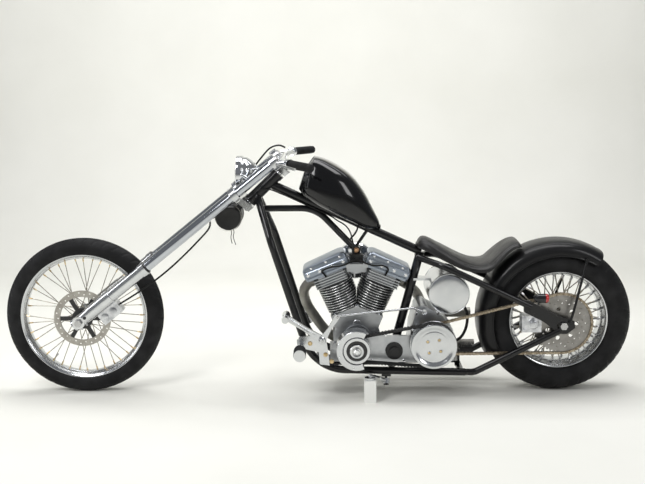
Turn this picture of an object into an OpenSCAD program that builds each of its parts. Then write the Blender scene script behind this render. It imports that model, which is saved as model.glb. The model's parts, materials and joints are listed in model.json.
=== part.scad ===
// Rigid-tail chopper motorcycle: long raked fork, V-twin engine, open belt primary drive.
// Front of the machine points to -X, its left side to -Y, and the floor is Z = 0. Millimetres.

/* [Stance] */
// Distance between the wheel axles
wheelbase = 2090; // [1700:5:2600]
// Lean to the left, onto the side stand, in degrees
lean = 4; // [0:0.1:6]
// Crankshaft to rear axle, measured along X
crank_to_axle = 885; // [820:1:1000]

/* [Front wheel] */
// Outside diameter of the front tyre
front_tyre_d = 695; // [560:1:760]
// Width of the front tyre
front_tyre_w = 90; // [70:1:120]
// Diameter over the front rim's flanges
front_rim_d = 561; // [450:1:600]
// Width over the front rim's flanges
front_rim_w = 68; // [50:1:80]
// Number of front spokes, a multiple of four
front_spokes = 40; // [20:4:80]
// Diameter of the front brake disc
front_disc_d = 250; // [200:1:300]

/* [Rear wheel] */
// Outside diameter of the rear tyre
rear_tyre_d = 656; // [560:1:760]
// Width of the rear tyre
rear_tyre_w = 170; // [120:1:176]
// Radius of the rear tyre's crown, across the tread
rear_crown = 100; // [90:1:140]
// Diameter over the rear rim's flanges
rear_rim_d = 434; // [380:1:500]
// Width over the rear rim's flanges
rear_rim_w = 128; // [90:1:140]
// Number of rear spokes, a multiple of four
rear_spokes = 60; // [20:4:80]
// Diameter of the combined rear sprocket and brake disc
rear_sprocket_d = 262; // [200:1:290]

/* [Fork and bars] */
// Distance between the two fork legs
leg_spacing = 212; // [190:1:240]
// Diameter of the chromed fork tubes
fork_tube_d = 45; // [35:1:50]
// Diameter of the sliders
slider_d = 62; // [50:1:64]
// Length of a slider above the axle
slider_l = 378; // [250:1:420]
// Thickness of both fork trees
tree_t = 29; // [20:1:40]
// Distance between the two trees along the legs
tree_gap = 221; // [180:1:260]
// Handlebar half width over the grips
bar_half = 345; // [280:1:420]
// Handlebar tube diameter
bar_d = 25.4; // [22:0.1:32]
// Headlight diameter
headlight_d = 154; // [120:1:160]

/* [Frame] */
// Steering head tube diameter
neck_d = 54; // [46:1:60]
// Backbone and seat post tube diameter
main_tube_d = 38; // [32:1:45]
// Down tube and lower rail diameter
cradle_tube_d = 32; // [25:1:38]
// Rear stay and brace tube diameter
stay_tube_d = 28.6; // [22:0.1:34]
// Half distance between the lower rails' centres
cradle_half = 135; // [125:1:160]
// Half distance between the axle plates' centres
stay_half = 147; // [140:1:170]
// Wheel axle diameter
axle_d = 20; // [15:1:25]

/* [Engine] */
// Half of the angle between the two cylinders, degrees
vee_half = 22; // [20:0.5:30]
// Diameter of the cylinder fins
fin_d = 160; // [140:1:170]
// Diameter of the cylinder barrel under its fins
barrel_d = 122; // [100:1:130]
// Number of fins on each cylinder
fin_count = 11; // [8:1:14]
// Length of one rocker box
rocker_l = 208; // [180:1:214]
// Diameter of the clutch basket
clutch_d = 196; // [160:1:210]

/* [Fittings] */
// Height of the white block under the side stand
block_h = 94; // [80:1:105]
// Side stand leg diameter
stand_d = 20; // [14:1:26]
// Oil tank diameter
oil_tank_d = 178; // [140:1:180]
// Oil tank length across the frame
oil_tank_l = 210; // [160:1:230]
// Radius of the rear fender's crown from the axle
fender_r = 354; // [345:1:380]
// Half width of the rear fender
fender_half = 99; // [95:1:104]

/* [Hidden] */
$fn = 48;
// the one running gap between pieces that turn on each other, and the seam left between fixed pieces
run_gap = 1;
seam = 0.2;
foot_gap = 0.3; // between the stand's foot and the block

half_len = (wheelbase + (front_tyre_d + rear_tyre_d) / 2) / 2;
front_r = front_tyre_d / 2;
rear_r = rear_tyre_d / 2;
front_x = front_r - half_len;
rear_x = half_len - rear_r;
crank_x = rear_x - crank_to_axle;
front_axle = [front_x, 0, front_r];
bar_z = 1042; // height of the grips, which set the machine's width
lean_shift = bar_z * sin(lean);
// a leaned tyre's crown dips a little, so everything rises by that much
lean_lift = rear_crown * (1 - cos(lean));
floor_up = [0, sin(lean), cos(lean)]; // the floor's own upward direction, seen from the leaned machine
rear_axle = [rear_x, 0, rear_r];

// frame places are given from the crankshaft along X, and from the floor along Z
function f(x, y, z) = [crank_x + x, y, z];
function unit(v) = v / norm(v);
function side(p, s) = [p.x, s * p.y, p.z];

crank = f(0, 0, 252);
neck_low = f(-469, 0, 853);
neck_top = f(-343, 0, 974);
steer_dir = unit(neck_top - neck_low);
leg_low = f(-524, 0, 899);
leg_dir = unit(leg_low - front_axle);
leg_tilt = atan2(leg_dir.x, leg_dir.z);
lower_tree_at = norm(leg_low - front_axle);
top_tree_at = lower_tree_at + tree_gap;
leg_perp = [leg_dir.z, 0, -leg_dir.x];
leg_y = leg_spacing / 2;
// where the steering axis crosses a tree: distance from the legs' plane
function stem_reach(at) =
    let (p = front_axle + at * leg_dir, n = [-steer_dir.z, 0, steer_dir.x])
    ((neck_low - p) * n) / (leg_perp * n);
stem_bottom = front_axle + lower_tree_at * leg_dir + stem_reach(lower_tree_at) * leg_perp;
stem_top = front_axle + top_tree_at * leg_dir + stem_reach(top_tree_at) * leg_perp;
stem_d = 30;

seat_post_top = f(282, 0, 627);
seat_post_foot = f(150, 0, 133);
backbone_start = f(-384, 0, 935);
chain_y = -114;
primary_y = -190;
engine_pulley_c = f(-6, 0, 240);
clutch_c = f(323, 0, 257);
sprocket_c = f(319, 0, 256);
front_sprocket_d = 124;
stand_pivot = f(124, -128, 92);
stand_axis = unit([0, 0.3, 0.95]);
stand_foot = f(51, -190, (block_h + foot_gap - lean_lift + 190 * sin(lean)) / cos(lean));
peg_left = f(-247, -232, 257);

// ---------- placing and tube helpers ----------

module leaned() translate([0, lean_shift, lean_lift]) rotate([lean, 0, 0]) children();

// children stand on point a with their Z towards point b
module along(a, b) {
    v = b - a;
    translate(a) rotate([0, acos(v.z / norm(v)), atan2(v.y, v.x)]) children();
}

module rod(a, b, d) along(a, b) cylinder(d = d, h = norm(b - a));

// children are moved so that Z runs up the fork legs, X points from the legs to the stem
module on_leg(at = 0) translate(front_axle + at * leg_dir) rotate([0, leg_tilt, 0]) children();

// an axis across the machine: the child's Z becomes -Y
module across(c) translate(c) rotate([90, 0, 0]) children();

module both() for (s = [-1, 1]) scale_y(s) children();
module scale_y(s) { if (s < 0) children(); else mirror([0, 1, 0]) children(); }

// a tube through points, with true round bends of radius bend; a bend is a hair thicker and
// takes in the ends of the straights, so no two faces only touch
bend_grow = 0.3;
function turn(p, i) = acos(max(-1, min(1, unit(p[i] - p[i - 1]) * unit(p[i + 1] - p[i]))));
function cutback(p, i, bend) = i <= 0 || i >= len(p) - 1 ? 0 : bend * tan(turn(p, i) / 2);
module bent(p, d, bend) {
    for (i = [0 : len(p) - 2]) {
        u = unit(p[i + 1] - p[i]);
        rod(p[i] + u * (cutback(p, i, bend) - (i > 0 ? 2 : 0)),
            p[i + 1] - u * (cutback(p, i + 1, bend) - (i < len(p) - 2 ? 2 : 0)), d);
    }
    for (i = [1 : 1 : len(p) - 2]) {
        u = unit(p[i] - p[i - 1]);
        w = unit(p[i + 1] - p[i]);
        n = unit(cross(u, w));
        e = cross(u, n);
        c = p[i] - u * cutback(p, i, bend) - e * bend;
        multmatrix([[e.x, u.x, n.x, c.x], [e.y, u.y, n.y, c.y], [e.z, u.z, n.z, c.z], [0, 0, 0, 1]])
            rotate_extrude(angle = turn(p, i)) translate([bend, 0]) circle(d = d + bend_grow);
    }
}

// a smooth thin cord or pipe through hand-set points: k steps between each two of them
function curve(p, k) = let (n = len(p) - 1) concat([for (i = [0 : n - 1], j = [0 : k - 1])
    let (t = j / k, a = p[max(i - 1, 0)], b = p[i], c = p[i + 1], e = p[min(i + 2, n)])
    0.5 * (2 * b + (c - a) * t + (2 * a - 5 * b + 4 * c - e) * t * t
        + (3 * b - a - 3 * c + e) * t * t * t)], [p[n]]);
function tangents(p) = [for (i = [0 : len(p) - 1])
    unit(p[min(i + 1, len(p) - 1)] - p[max(i - 1, 0)])];
function normals(t, m, i = 0) = i >= len(t) ? [] :
    let (q = unit(m - (m * t[i]) * t[i])) concat([q], normals(t, q, i + 1));
module cord(p, d, k = 4, sides = 10) {
    c = curve(p, k);
    t = tangents(c);
    m = normals(t, abs(t[0].y) < 0.9 ? [0, 1, 0] : [1, 0, 0]);
    pts = [for (i = [0 : len(c) - 1], a = [0 : sides - 1]) let (g = 360 * a / sides)
        c[i] + d / 2 * (cos(g) * m[i] + sin(g) * cross(t[i], m[i]))];
    last = (len(c) - 1) * sides;
    walls = [for (i = [0 : len(c) - 2], a = [0 : sides - 1])
        let (b = (a + 1) % sides, lo = i * sides, hi = lo + sides)
        each [[lo + a, hi + a, hi + b], [lo + a, hi + b, lo + b]]];
    polyhedron(points = pts, faces = concat(walls,
        [[for (a = [0 : sides - 1]) a]], [[for (a = [sides - 1 : -1 : 0]) last + a]]));
}

// ---------- wheels ----------

// tyre section: a crown arc that runs smoothly into two shoulder circles, cut off above the rim
module tyre(r, w, rim_r, rim_w, shoulder, crown, c) across(c) rotate_extrude() {
    reach = w / 2 - shoulder;
    at = r - crown + sqrt(pow(crown - shoulder, 2) - reach * reach);
    meet = crown * reach / (crown - shoulder);
    difference() {
        union() {
            for (s = [-1, 1]) translate([at, s * reach]) circle(r = shoulder);
            intersection() {
                translate([r - crown, 0]) circle(r = crown);
                translate([at - shoulder / 2, -meet]) square([r, 2 * meet]);
            }
        }
        translate([0, -w]) square([rim_r + seam, 2 * w]);
    }
    translate([rim_r - 14, -rim_w / 2 + 4]) square([16, rim_w - 8]);
}

// rim: two flanges on a dropped centre
module rim(r, w, c) across(c) rotate_extrude() difference() {
    translate([r - 24, -w / 2]) square([24, w]);
    translate([r - 14 - seam, -w / 2 + 4 - seam]) square([30, w - 8 + 2 * seam]);
    for (s = [-1, 1]) translate([r - 34, s * w / 2]) rotate(45) square(14, center = true);
}

// crossed spokes between two hub flanges and the rim: [count, flange radius, flange y, rim radius, rim y]
module spokes(c, count, hub_r, hub_y, rim_r, rim_y, d) {
    half = count / 2;
    for (s = [-1, 1], k = [0 : half - 1]) {
        a = 360 * (k + (s > 0 ? 0.5 : 0)) / half;
        lead = (k % 2 == 0 ? 1 : -1) * 54;
        out = k % 2 == 0 ? d + 1 : -d;
        hub_end = [hub_r * cos(a + lead), s * (hub_y + out), hub_r * sin(a + lead)];
        rim_end = [rim_r * cos(a), s * (rim_y + out / 2), rim_r * sin(a)];
        rod(c + hub_end, c + rim_end, d);
    }
}

front_hub_y = 31;
rear_hub_y = 52;
module front_tyre() color("#1b1b1d")
    tyre(front_r, front_tyre_w, front_rim_d / 2, front_rim_w, front_tyre_w / 2 - 3, 55, front_axle);
module rear_tyre() color("#1b1b1d")
    tyre(rear_r, rear_tyre_w, rear_rim_d / 2, rear_rim_w, rear_tyre_w / 2 - 23, rear_crown, rear_axle);
module front_rim() color("#d6d8da") rim(front_rim_d / 2, front_rim_w, front_axle);
module rear_rim() color("#d6d8da") rim(rear_rim_d / 2, rear_rim_w, rear_axle);
module front_spokes() color("#c4c6c8")
    spokes(front_axle, front_spokes, 33, front_hub_y, front_rim_d / 2 - 24.4, 10, 3.4);
module rear_spokes() color("#c4c6c8")
    spokes(rear_axle, rear_spokes, 41, rear_hub_y, rear_rim_d / 2 - 24.4, 30, 5);

// hub: barrel with two flanges, bored for its axle
module hub(c, barrel, flange, y, t, ends) across(c) difference() {
    union() {
        translate([0, 0, -ends[1]]) cylinder(d = barrel, h = ends[0] + ends[1]);
        for (s = [-1, 1]) translate([0, 0, s * y - t / 2]) cylinder(d = flange, h = t);
    }
    translate([0, 0, -ends[1] - 1]) cylinder(d = axle_d + 2 * run_gap, h = ends[0] + ends[1] + 2);
}
module front_hub() color("#b9bcbf") hub(front_axle, 46, 84, front_hub_y, 3, [48, 66]);
module rear_hub() color("#b9bcbf") hub(rear_axle, 66, 94, rear_hub_y, 3.6, [106, 120]);

front_disc_y = -58;
module front_disc() color("#6c6e70") across(front_axle + [0, front_disc_y, 0]) {
    difference() {
        cylinder(d = front_disc_d, h = 5, center = true);
        cylinder(d = front_disc_d - 56, h = 8, center = true);
        for (k = [0 : 29]) rotate(12 * k) translate([front_disc_d / 2 - (k % 2 == 0 ? 10 : 18), 0])
            cylinder(d = 7, h = 8, center = true);
    }
    difference() {
        cylinder(d = 92, h = 8, center = true);
        cylinder(d = axle_d + 2 * run_gap, h = 10, center = true);
    }
    for (k = [0 : 5]) rotate(60 * k) translate([44, -9, -3.5]) cube([56, 18, 7]);
    translate([0, 0, -9.8]) difference() {
        cylinder(d = 70, h = 8);
        translate([0, 0, -1]) cylinder(d = axle_d + 2 * run_gap, h = 10);
    }
}

// combined chain sprocket and drilled brake disc
rear_teeth = 51;
module sprocket_disc() color("#8d8f91") across(rear_axle + [0, chain_y, 0]) difference() {
    union() {
        linear_extrude(7, center = true) polygon([for (k = [0 : 4 * rear_teeth - 1])
            let (a = 360 * (k + 0.5) / (4 * rear_teeth), r = rear_sprocket_d / 2 - (k % 4 < 2 ? 0 : 7))
            [r * cos(a), r * sin(a)]]);
        translate([0, 0, -8]) cylinder(d = 96, h = 14);
    }
    cylinder(d = axle_d + 2 * run_gap, h = 60, center = true);
    for (k = [0 : 35]) rotate(10 * k) translate([k % 2 == 0 ? 104 : 90, 0])
        cylinder(d = 7, h = 20, center = true);
    for (k = [0 : 6]) rotate(360 / 7 * k) translate([66, 0]) cylinder(d = 19, h = 20, center = true);
}

// ---------- frame ----------

module steering_head() color("#151517") difference() {
    union() {
        rod(neck_low + steer_dir * 5, neck_top, neck_d);
        rod(neck_low + steer_dir * 5, neck_low + steer_dir * 18, neck_d + 6);
        rod(neck_top - steer_dir * 14, neck_top + steer_dir * 6, neck_d + 6);
    }
    rod(neck_low - steer_dir * 20, neck_top + steer_dir * 20, stem_d + 4);
}

module backbone() color("#151517") difference() {
    rod(backbone_start, seat_post_top, main_tube_d);
    rod(neck_low - steer_dir * 20, neck_top + steer_dir * 20, neck_d + 2 * seam);
}

// curved brace from the lower end of the head to the engine's top mount
brace_path = [f(-428, 0, 822), f(-180, 0, 822), f(-2, 0, 636)];
brace_strut = [f(-2, 0, 650), f(50, 0, 727)];
module upper_brace() color("#151517") difference() {
    union() {
        bent(brace_path, stay_tube_d, 150);
        rod(brace_strut[0], brace_strut[1], 14);
        across(f(-2, 0, 636)) cylinder(d = 40, h = 30, center = true);
    }
    rod(neck_low - steer_dir * 20, neck_top + steer_dir * 20, neck_d + 6 + 2 * seam);
    rod(backbone_start, seat_post_top, main_tube_d + 2 * seam);
}

// twin down tubes: from the head, spreading to the cradle's width
down_path = [f(-432, -16, 880), f(-370, -cradle_half, 700), f(-258, -cradle_half, 349)];
cradle_path = [f(-258, -cradle_half, 349), f(-190, -cradle_half, 136), f(466, -cradle_half, 119)];
module down_tubes() color("#151517") both() difference() {
    bent(down_path, cradle_tube_d, 130);
    rod(neck_low - steer_dir * 30, neck_top + steer_dir * 20, neck_d + 6 + 2 * seam);
    rod(brace_path[0], brace_path[1], stay_tube_d + 2 * seam);
    translate(f(-500, -seam / 2, 700)) cube([300, 60, 300]);
}
module lower_rails() color("#151517") both() bent(cradle_path, cradle_tube_d, 195);

plate_t = 10;
plate_out = stay_half + plate_t / 2 + seam; // just outside an axle plate
plate_in = stay_half - plate_t / 2 - seam; // just inside it
plate_outline = [[-172, 112], [-150, 112], [-24, 44], [46, 20], [50, -10], [16, -36], [-26, -36],
    [-44, -14], [-90, 20], [-172, 62]];
module plate_slab(t) translate(rear_axle + [0, -stay_half + t / 2, 0]) rotate([90, 0, 0])
    linear_extrude(t) polygon(plate_outline);
module axle_plates() color("#151517") both() difference() {
    plate_slab(plate_t);
    across(rear_axle + [0, -stay_half, 0]) cylinder(d = axle_d + 2 * seam, h = 40, center = true);
    translate(rear_axle + [-28, -stay_half - 20, -axle_d / 2 - seam]) cube([28, 40, axle_d + 2 * seam]);
}

module lower_stays() both() difference() {
    bent([cradle_path[2], cradle_path[2] + [40, 0, -1], rear_axle + [-14, -stay_half, -22]],
        stay_tube_d, 60);
    plate_slab(plate_t + 2 * seam);
    across(rear_axle + [0, -stay_half, 0]) cylinder(d = 44, h = 60, center = true);
}
module upper_stays() both() difference() {
    bent([f(270, -32, 606), f(372, -fender_half - 26, 585), rear_axle + [-140, -stay_half, 84]],
        stay_tube_d, 90);
    across(f(276, 0, 604)) cylinder(d = stay_tube_d + 2 * seam, h = 66 + 2 * seam, center = true);
    rod(seat_post_top + [0, 0, 40], seat_post_foot, main_tube_d + 2 * seam);
    rod(backbone_start, seat_post_top, main_tube_d + 2 * seam);
    plate_slab(plate_t + 2 * seam);
}
module rear_stays() color("#151517") {
    lower_stays();
    upper_stays();
}
module seat_post() color("#151517") difference() {
    union() {
        rod(seat_post_top, seat_post_foot, main_tube_d);
        across(f(276, 0, 604)) cylinder(d = stay_tube_d, h = 66, center = true);
    }
    rod(backbone_start, seat_post_top, main_tube_d + 2 * seam);
    across(seat_post_foot) cylinder(d = stay_tube_d + 2 * seam, h = 300, center = true);
}

// cross tubes between the lower rails and the flat engine and gearbox plates: [x, z]
cross_places = [[-165, 178], [150, 133], [450, 119]];
module cross_members() color("#151517") {
    for (p = cross_places) difference() {
        across(f(p[0], 0, p[1])) cylinder(d = stay_tube_d, h = 2 * cradle_half, center = true);
        both() bent(cradle_path, cradle_tube_d + 2 * seam, 195);
    }
    translate(f(-155, -60, 128)) cube([290, 120, 8]);
    translate(f(182, -70, 140)) cube([258, 140, 7.8]);
    for (y = [-60, 48]) translate(f(432, y, 122)) cube([12, 12, 24]);
    // a post behind the gearbox for the regulator
    translate(f(444, -66, 131)) cube([8, 24, 66]);
    stand_bracket();
}

module rear_axle_bolt() color("#c9cbce") across(rear_axle) {
    cylinder(d = axle_d, h = 2 * stay_half + 36, center = true);
    for (s = [-1, 1]) translate([0, 0, s * (stay_half + 5 + 6 + seam)])
        cylinder(d = 34, h = 12, center = true, $fn = 6);
    for (s = [-1, 1]) translate([0, 0, s * (stay_half - 5 - seam - 6)])
        cylinder(d = 34, h = 12, center = true);
}

// ---------- engine ----------

// children stand on the crank with Z along a cylinder: side -1 front, 1 rear
module on_cylinder(s, at = 0) translate(crank) rotate([0, s * vee_half, 0]) translate([0, 0, at]) children();

case_r = 104;
cyl_base = 133; // crank centre to the cylinders' feet
module crankcase() color("#a9abad") difference() {
    union() {
        across(crank + [0, 8, 0]) cylinder(r = case_r, h = 132, center = true);
        for (s = [-1, 1]) intersection() {
            on_cylinder(s) translate([-70, -62, 40]) cube([140, 124, cyl_base - 40 - seam]);
            translate(crank + [s > 0 ? -1 : -299, -100, 0]) cube([300, 200, 300]);
        }
        translate(f(-118, -50, 140)) cube([236, 108, 60]);
        translate(f(60, -50, 150)) cube([92, 100, 40]);
        across(f(-96, -62, 216)) cylinder(d = 30, h = 16, center = true);
        across(crank + [0, -64, 0]) cylinder(d = 120, h = 20, center = true);
    }
    translate(f(-160, -80, 60)) cube([320, 160, 76.2]);
    rod(seat_post_top, seat_post_foot, main_tube_d + 2);
    across(f(-165, 0, 178)) cylinder(d = stay_tube_d + 1, h = 300, center = true);
}

fin_pitch = 11.4;
cyl_top = cyl_base + 8 + fin_count * fin_pitch;
module cylinder_barrels() color("#9fa2a6") for (s = [-1, 1]) intersection() {
    on_cylinder(s, cyl_base) {
        cylinder(d = barrel_d, h = cyl_top - cyl_base - seam);
        for (k = [0 : fin_count - 1]) translate([0, 0, 7 + k * fin_pitch])
            cylinder(d = fin_d - (fin_count - 1 - k) * 0.8, h = 3.4);
    }
    // the two cylinders' fins are trimmed where they meet in the middle
    translate(crank + [s > 0 ? 1.5 : -301.5, -200, 0]) cube([300, 400, 400]);
}

// head: fins on a block, with an exhaust port outwards and a plug seat on the left
head_h = 44;
port_y = 44;
module cylinder_heads() color("#9fa2a6") for (s = [-1, 1]) on_cylinder(s, cyl_top) difference() {
    union() {
        translate([-58, -58, 0]) cube([116, 116, head_h]);
        for (k = [0 : 3]) translate([s < 0 ? -80 : -66, -72, 1 + k * fin_pitch]) cube([146, 144, 3.6]);
        translate([s * 58, port_y, port_at[1]]) rotate([0, s * 90, 0]) cylinder(d = 46, h = port_at[0] - 58);
        translate([s < 0 ? -52 : -32, 50, 12]) cube([84, 50, head_h - 12]);
    }
    translate([-s * 78, -90, -1]) rotate([0, -s * vee_half, 0]) translate([s > 0 ? -40 : 0, 0, -60]) cube([40, 180, 200]);
}

// rocker boxes: three stacked castings with bevelled ends
rocker_base = cyl_top + head_h;
rocker_side = [[-0.5, 0], [0.47, 0], [0.5, 12], [0.5, 46], [0.45, 62], [-0.46, 74], [-0.5, 60]];
module rocker_boxes() color("#b4b8bd") for (s = [-1, 1]) on_cylinder(s, rocker_base + seam) difference() {
    translate([0, 62, 0]) rotate([90, 0, 0]) linear_extrude(124)
        polygon([for (p = rocker_side) [s * p[0] * rocker_l + s * 8, p[1]]]);
    for (z = [15, 43]) difference() {
        translate([0, 0, z]) cube([2 * rocker_l, 200, 2.4], center = true);
        translate([s * 8, 0, z]) cube([rocker_l - 6, 118, 6], center = true);
    }
    for (y = [-1, 1]) translate([0, y * 62, 74]) rotate([45, 0, 0]) cube([2 * rocker_l, 16, 16], center = true);
}

pushrod_feet = [[-1, -34], [-1, 14], [1, -14], [1, 34]];
module pushrod_tubes() color("#cfd2d5") for (p = pushrod_feet)
    on_cylinder(p[0]) translate([p[1], 0, 0]) {
        rod([0, 98, 112.5], [0, 88.5, cyl_top + 11], 19);
        rod([0, 98, 112.5], [0, 94, 190], 24);
    }

module gearcase_cover() color("#c2c5c8") {
    across(crank + [0, 74 + seam + 18, 0]) difference() {
        union() {
            cylinder(r = 84, h = 36, center = true);
            translate([-46, -84, -18]) cube([92, 60, 36]);
            translate([-62, 40, -18]) cylinder(d = 72, h = 36);
            translate([62, 40, -18]) cylinder(d = 72, h = 36);
        }
        translate([0, 0, -18]) cylinder(d = 96, h = 6, center = true);
    }
    across(crank + [0, 74 + seam + 42, -30]) cylinder(d = 56, h = 12, center = true);
    for (p = [-1, 1]) on_cylinder(p) translate([-40 + p * 10, 74.4, 84]) cube([80, 36, 27.8]);
}

intake_c = f(0, 0, 550);
module carburettor() color("#8e9194") {
    across(intake_c + [0, 30, 0]) cylinder(d = 42, h = 70, center = true);
    translate(intake_c + [-43.9, -20, -12]) cube([87.8, 34, 24]);
    translate(intake_c + [-24, 62, -38]) cube([48, 56, 66]);
    across(intake_c + [0, 120, 4]) cylinder(d = 62, h = 14, center = true);
    // polished bracket that ties the rocker boxes together on the left
    translate(intake_c + [-48, -70, 20]) cube([96, 7.8, 16]);
}
module air_cleaner() color("#cfd2d5") across(intake_c + [0, 127 + seam, 4]) rotate([180, 0, 0])
    rotate_extrude() polygon([[0, 0], [78, 0], [84, 8], [84, 40], [78, 47], [40, 52], [0, 53]]);

// ---------- primary drive and gearbox ----------

motor_plate_y = -142;
module motor_plate() color("#b4b7ba") {
    difference() {
        translate([0, motor_plate_y + 6, 0]) rotate([90, 0, 0]) linear_extrude(12) union() {
            translate([engine_pulley_c.x, engine_pulley_c.z]) circle(r = 78);
            translate([clutch_c.x, clutch_c.z]) circle(r = 84);
            translate([engine_pulley_c.x, engine_pulley_c.z - 70])
                square([clutch_c.x - engine_pulley_c.x, 118]);
        }
        across(engine_pulley_c + [0, motor_plate_y, 0]) cylinder(d = 70, h = 40, center = true);
        across(clutch_c + [0, motor_plate_y, 0]) cylinder(d = 80, h = 40, center = true);
        across(f(157, motor_plate_y, 221)) cylinder(d = 76, h = 40, center = true);
    }
    for (p = [[-20, 176], [60, 200]]) rod(f(p[0], -58 - seam, p[1]), f(p[0], motor_plate_y + 4, p[1]), 22);
    for (p = [[262, 196], [262, 316]]) rod(f(p[0], -84 - seam, p[1]), f(p[0], motor_plate_y + 4, p[1]), 16);
    // half-round guard in front of the engine pulley
    translate([0, -196, 0]) rotate([-90, 0, 0]) translate([engine_pulley_c.x, -engine_pulley_c.z, 0])
        rotate(70) rotate_extrude(angle = 220) translate([71, -14]) square([15, 28]);
    for (a = [110, 180, 250]) rod(engine_pulley_c + [77 * cos(a), motor_plate_y - 6, 77 * sin(a)],
        engine_pulley_c + [77 * cos(a), -188, 77 * sin(a)], 10);
}

belt_w = 38;
module engine_pulley() color("#b9bcbf") {
    across(engine_pulley_c + [0, primary_y, 0]) {
        cylinder(r = 48, h = belt_w, center = true);
        for (s = [-1, 1]) translate([0, 0, s * (belt_w / 2 + 1.5)]) cylinder(r = 58, h = 3, center = true);
        translate([0, 0, belt_w / 2]) cylinder(r = 28, h = 12);
        translate([0, 0, belt_w / 2 + 12]) cylinder(r = 15, h = 8, $fn = 6);
    }
    rod(engine_pulley_c + [0, -74 - seam, 0], engine_pulley_c + [0, primary_y + belt_w / 2, 0], 34);
}
module primary_belt() color("#1d1d1f") translate([0, primary_y + belt_w / 2, 0]) rotate([90, 0, 0])
    linear_extrude(belt_w) difference() {
        belt_loop(54, clutch_d / 2 - 2);
        belt_loop(48 + seam, clutch_d / 2 - 8 + seam);
    }
module belt_loop(r1, r2) hull() {
    translate([engine_pulley_c.x, engine_pulley_c.z]) circle(r = r1, $fn = 96);
    translate([clutch_c.x, clutch_c.z]) circle(r = r2, $fn = 96);
}
module clutch() color("#c4c7ca") {
    across(clutch_c + [0, primary_y, 0]) difference() {
        union() {
            cylinder(r = clutch_d / 2 - 8, h = belt_w, center = true);
            for (s = [-1, 1]) translate([0, 0, s * (belt_w / 2 + 2)])
                cylinder(d = clutch_d + 6, h = 4, center = true);
            translate([0, 0, belt_w / 2]) cylinder(r = 62, h = 20);
            for (k = [0 : 3]) rotate(45 + 90 * k) translate([35, 0, belt_w / 2 + 18]) cylinder(d = 12, h = 7);
        }
        translate([0, 0, belt_w / 2 - 6]) difference() {
            cylinder(r = 84, h = 30);
            cylinder(r = 62, h = 40);
        }
        translate([0, 0, belt_w / 2 + 12]) cylinder(r = 24, h = 30);
    }
    rod(clutch_c + [0, -122, 0], clutch_c + [0, primary_y + belt_w / 2, 0], 40);
}
module starter() color("#29292b") {
    rod(f(157, -156, 221), f(157, -56, 221), 74);
    rod(f(157, -164, 221), f(157, -156, 221), 40);
}

gear_top = [[222, 150], [236, 300], [258, 376], [312, 390], [372, 356], [420, 290], [424, 150]];
module gearbox() color("#b1b4b7") difference() {
    union() {
        translate([crank_x, 84, 0]) rotate([90, 0, 0]) linear_extrude(168) polygon(gear_top);
        translate(f(240, -84, 148)) cube([170, 168, 20]);
        across(f(323, 92, 262)) cylinder(d = 150, h = 20, center = true);
        across(sprocket_c + [0, -88, 0]) cylinder(d = 84, h = 12, center = true);
        across(f(286, 0, 372)) cylinder(d = 60, h = 160, center = true);
        front_sprocket();
    }
    rod(seat_post_top, seat_post_foot, main_tube_d + 2);
    across(f(157, 0, 221)) cylinder(d = 78, h = 300, center = true);
}

// final drive chain: one fixed loop around both sprockets
module chain() color("#9a8f7a") {
    translate([0, chain_y + 8, 0]) rotate([90, 0, 0]) linear_extrude(16) difference() {
        chain_loop(front_sprocket_d / 2 + 6, rear_sprocket_d / 2 + 6);
        chain_loop(front_sprocket_d / 2 - 5, rear_sprocket_d / 2 - 5 + 6 + seam);
    }
}
module chain_loop(r1, r2) hull() {
    translate([sprocket_c.x, sprocket_c.z]) circle(r = r1, $fn = 64);
    translate([rear_axle.x, rear_axle.z]) circle(r = r2, $fn = 96);
}
module front_sprocket() across(sprocket_c + [0, chain_y, 0]) {
    cylinder(r = front_sprocket_d / 2 - 5 - seam, h = 8, center = true);
    translate([0, 0, -24]) cylinder(d = 50, h = 32);
}

// ---------- tanks, seat, fender ----------

// tank stations from front to tip: [bottom x, bottom z, top x, top z, half width]
tank_ribs = [[-248, 908, -214, 1014, 62], [-232, 888, -190, 1042, 92], [-214, 874, -176, 1050, 106],
    [-170, 846, -129, 1036, 120], [-113, 815, -64, 1000, 122], [-60, 788, -12, 957, 112],
    [-10, 763, 35, 893, 94], [38, 738, 70, 825, 68], [84, 733, 96, 772, 40], [101, 733, 102, 752, 26]];
tunnel_half = main_tube_d / 2 + 0.6;
tank_arc = 9; // points on each quarter of a section
// one side of a section: from the tunnel's corner out and up to the ridge, as [share of half width, share of height]
function tank_arc_point(a) = a < 0 ? [0.35 + 0.65 * pow(cos(a), 0.6), 0.3 - 0.3 * pow(-sin(a), 1.2)]
    : [pow(cos(a), 0.62), 0.3 + 0.7 * pow(sin(a), 0.92)];
function tunnel_z(x) = backbone_start.z + (x - backbone_start.x) * (seat_post_top.z - backbone_start.z)
    / (seat_post_top.x - backbone_start.x) + tunnel_half / cos(26);
function tank_half(r) =
    let (b = [crank_x + r[0], r[1]], t = [crank_x + r[2], r[3]], step = 90 / tank_arc,
        // the tunnel's roof on this station's line
        roof = max(0.02, min(0.7, (tunnel_z(b.x) - b.y) / (t.y - b.y))))
    [for (q = concat([[0, roof], [tunnel_half / r[4], roof], [tunnel_half / r[4], 0]],
        [for (k = [1 : 2 * tank_arc - 1]) tank_arc_point(-90 + k * step)], [[0, 1]]))
        [b.x + (t.x - b.x) * q[1], -r[4] * q[0], b.y + (t.y - b.y) * q[1]]];
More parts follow.
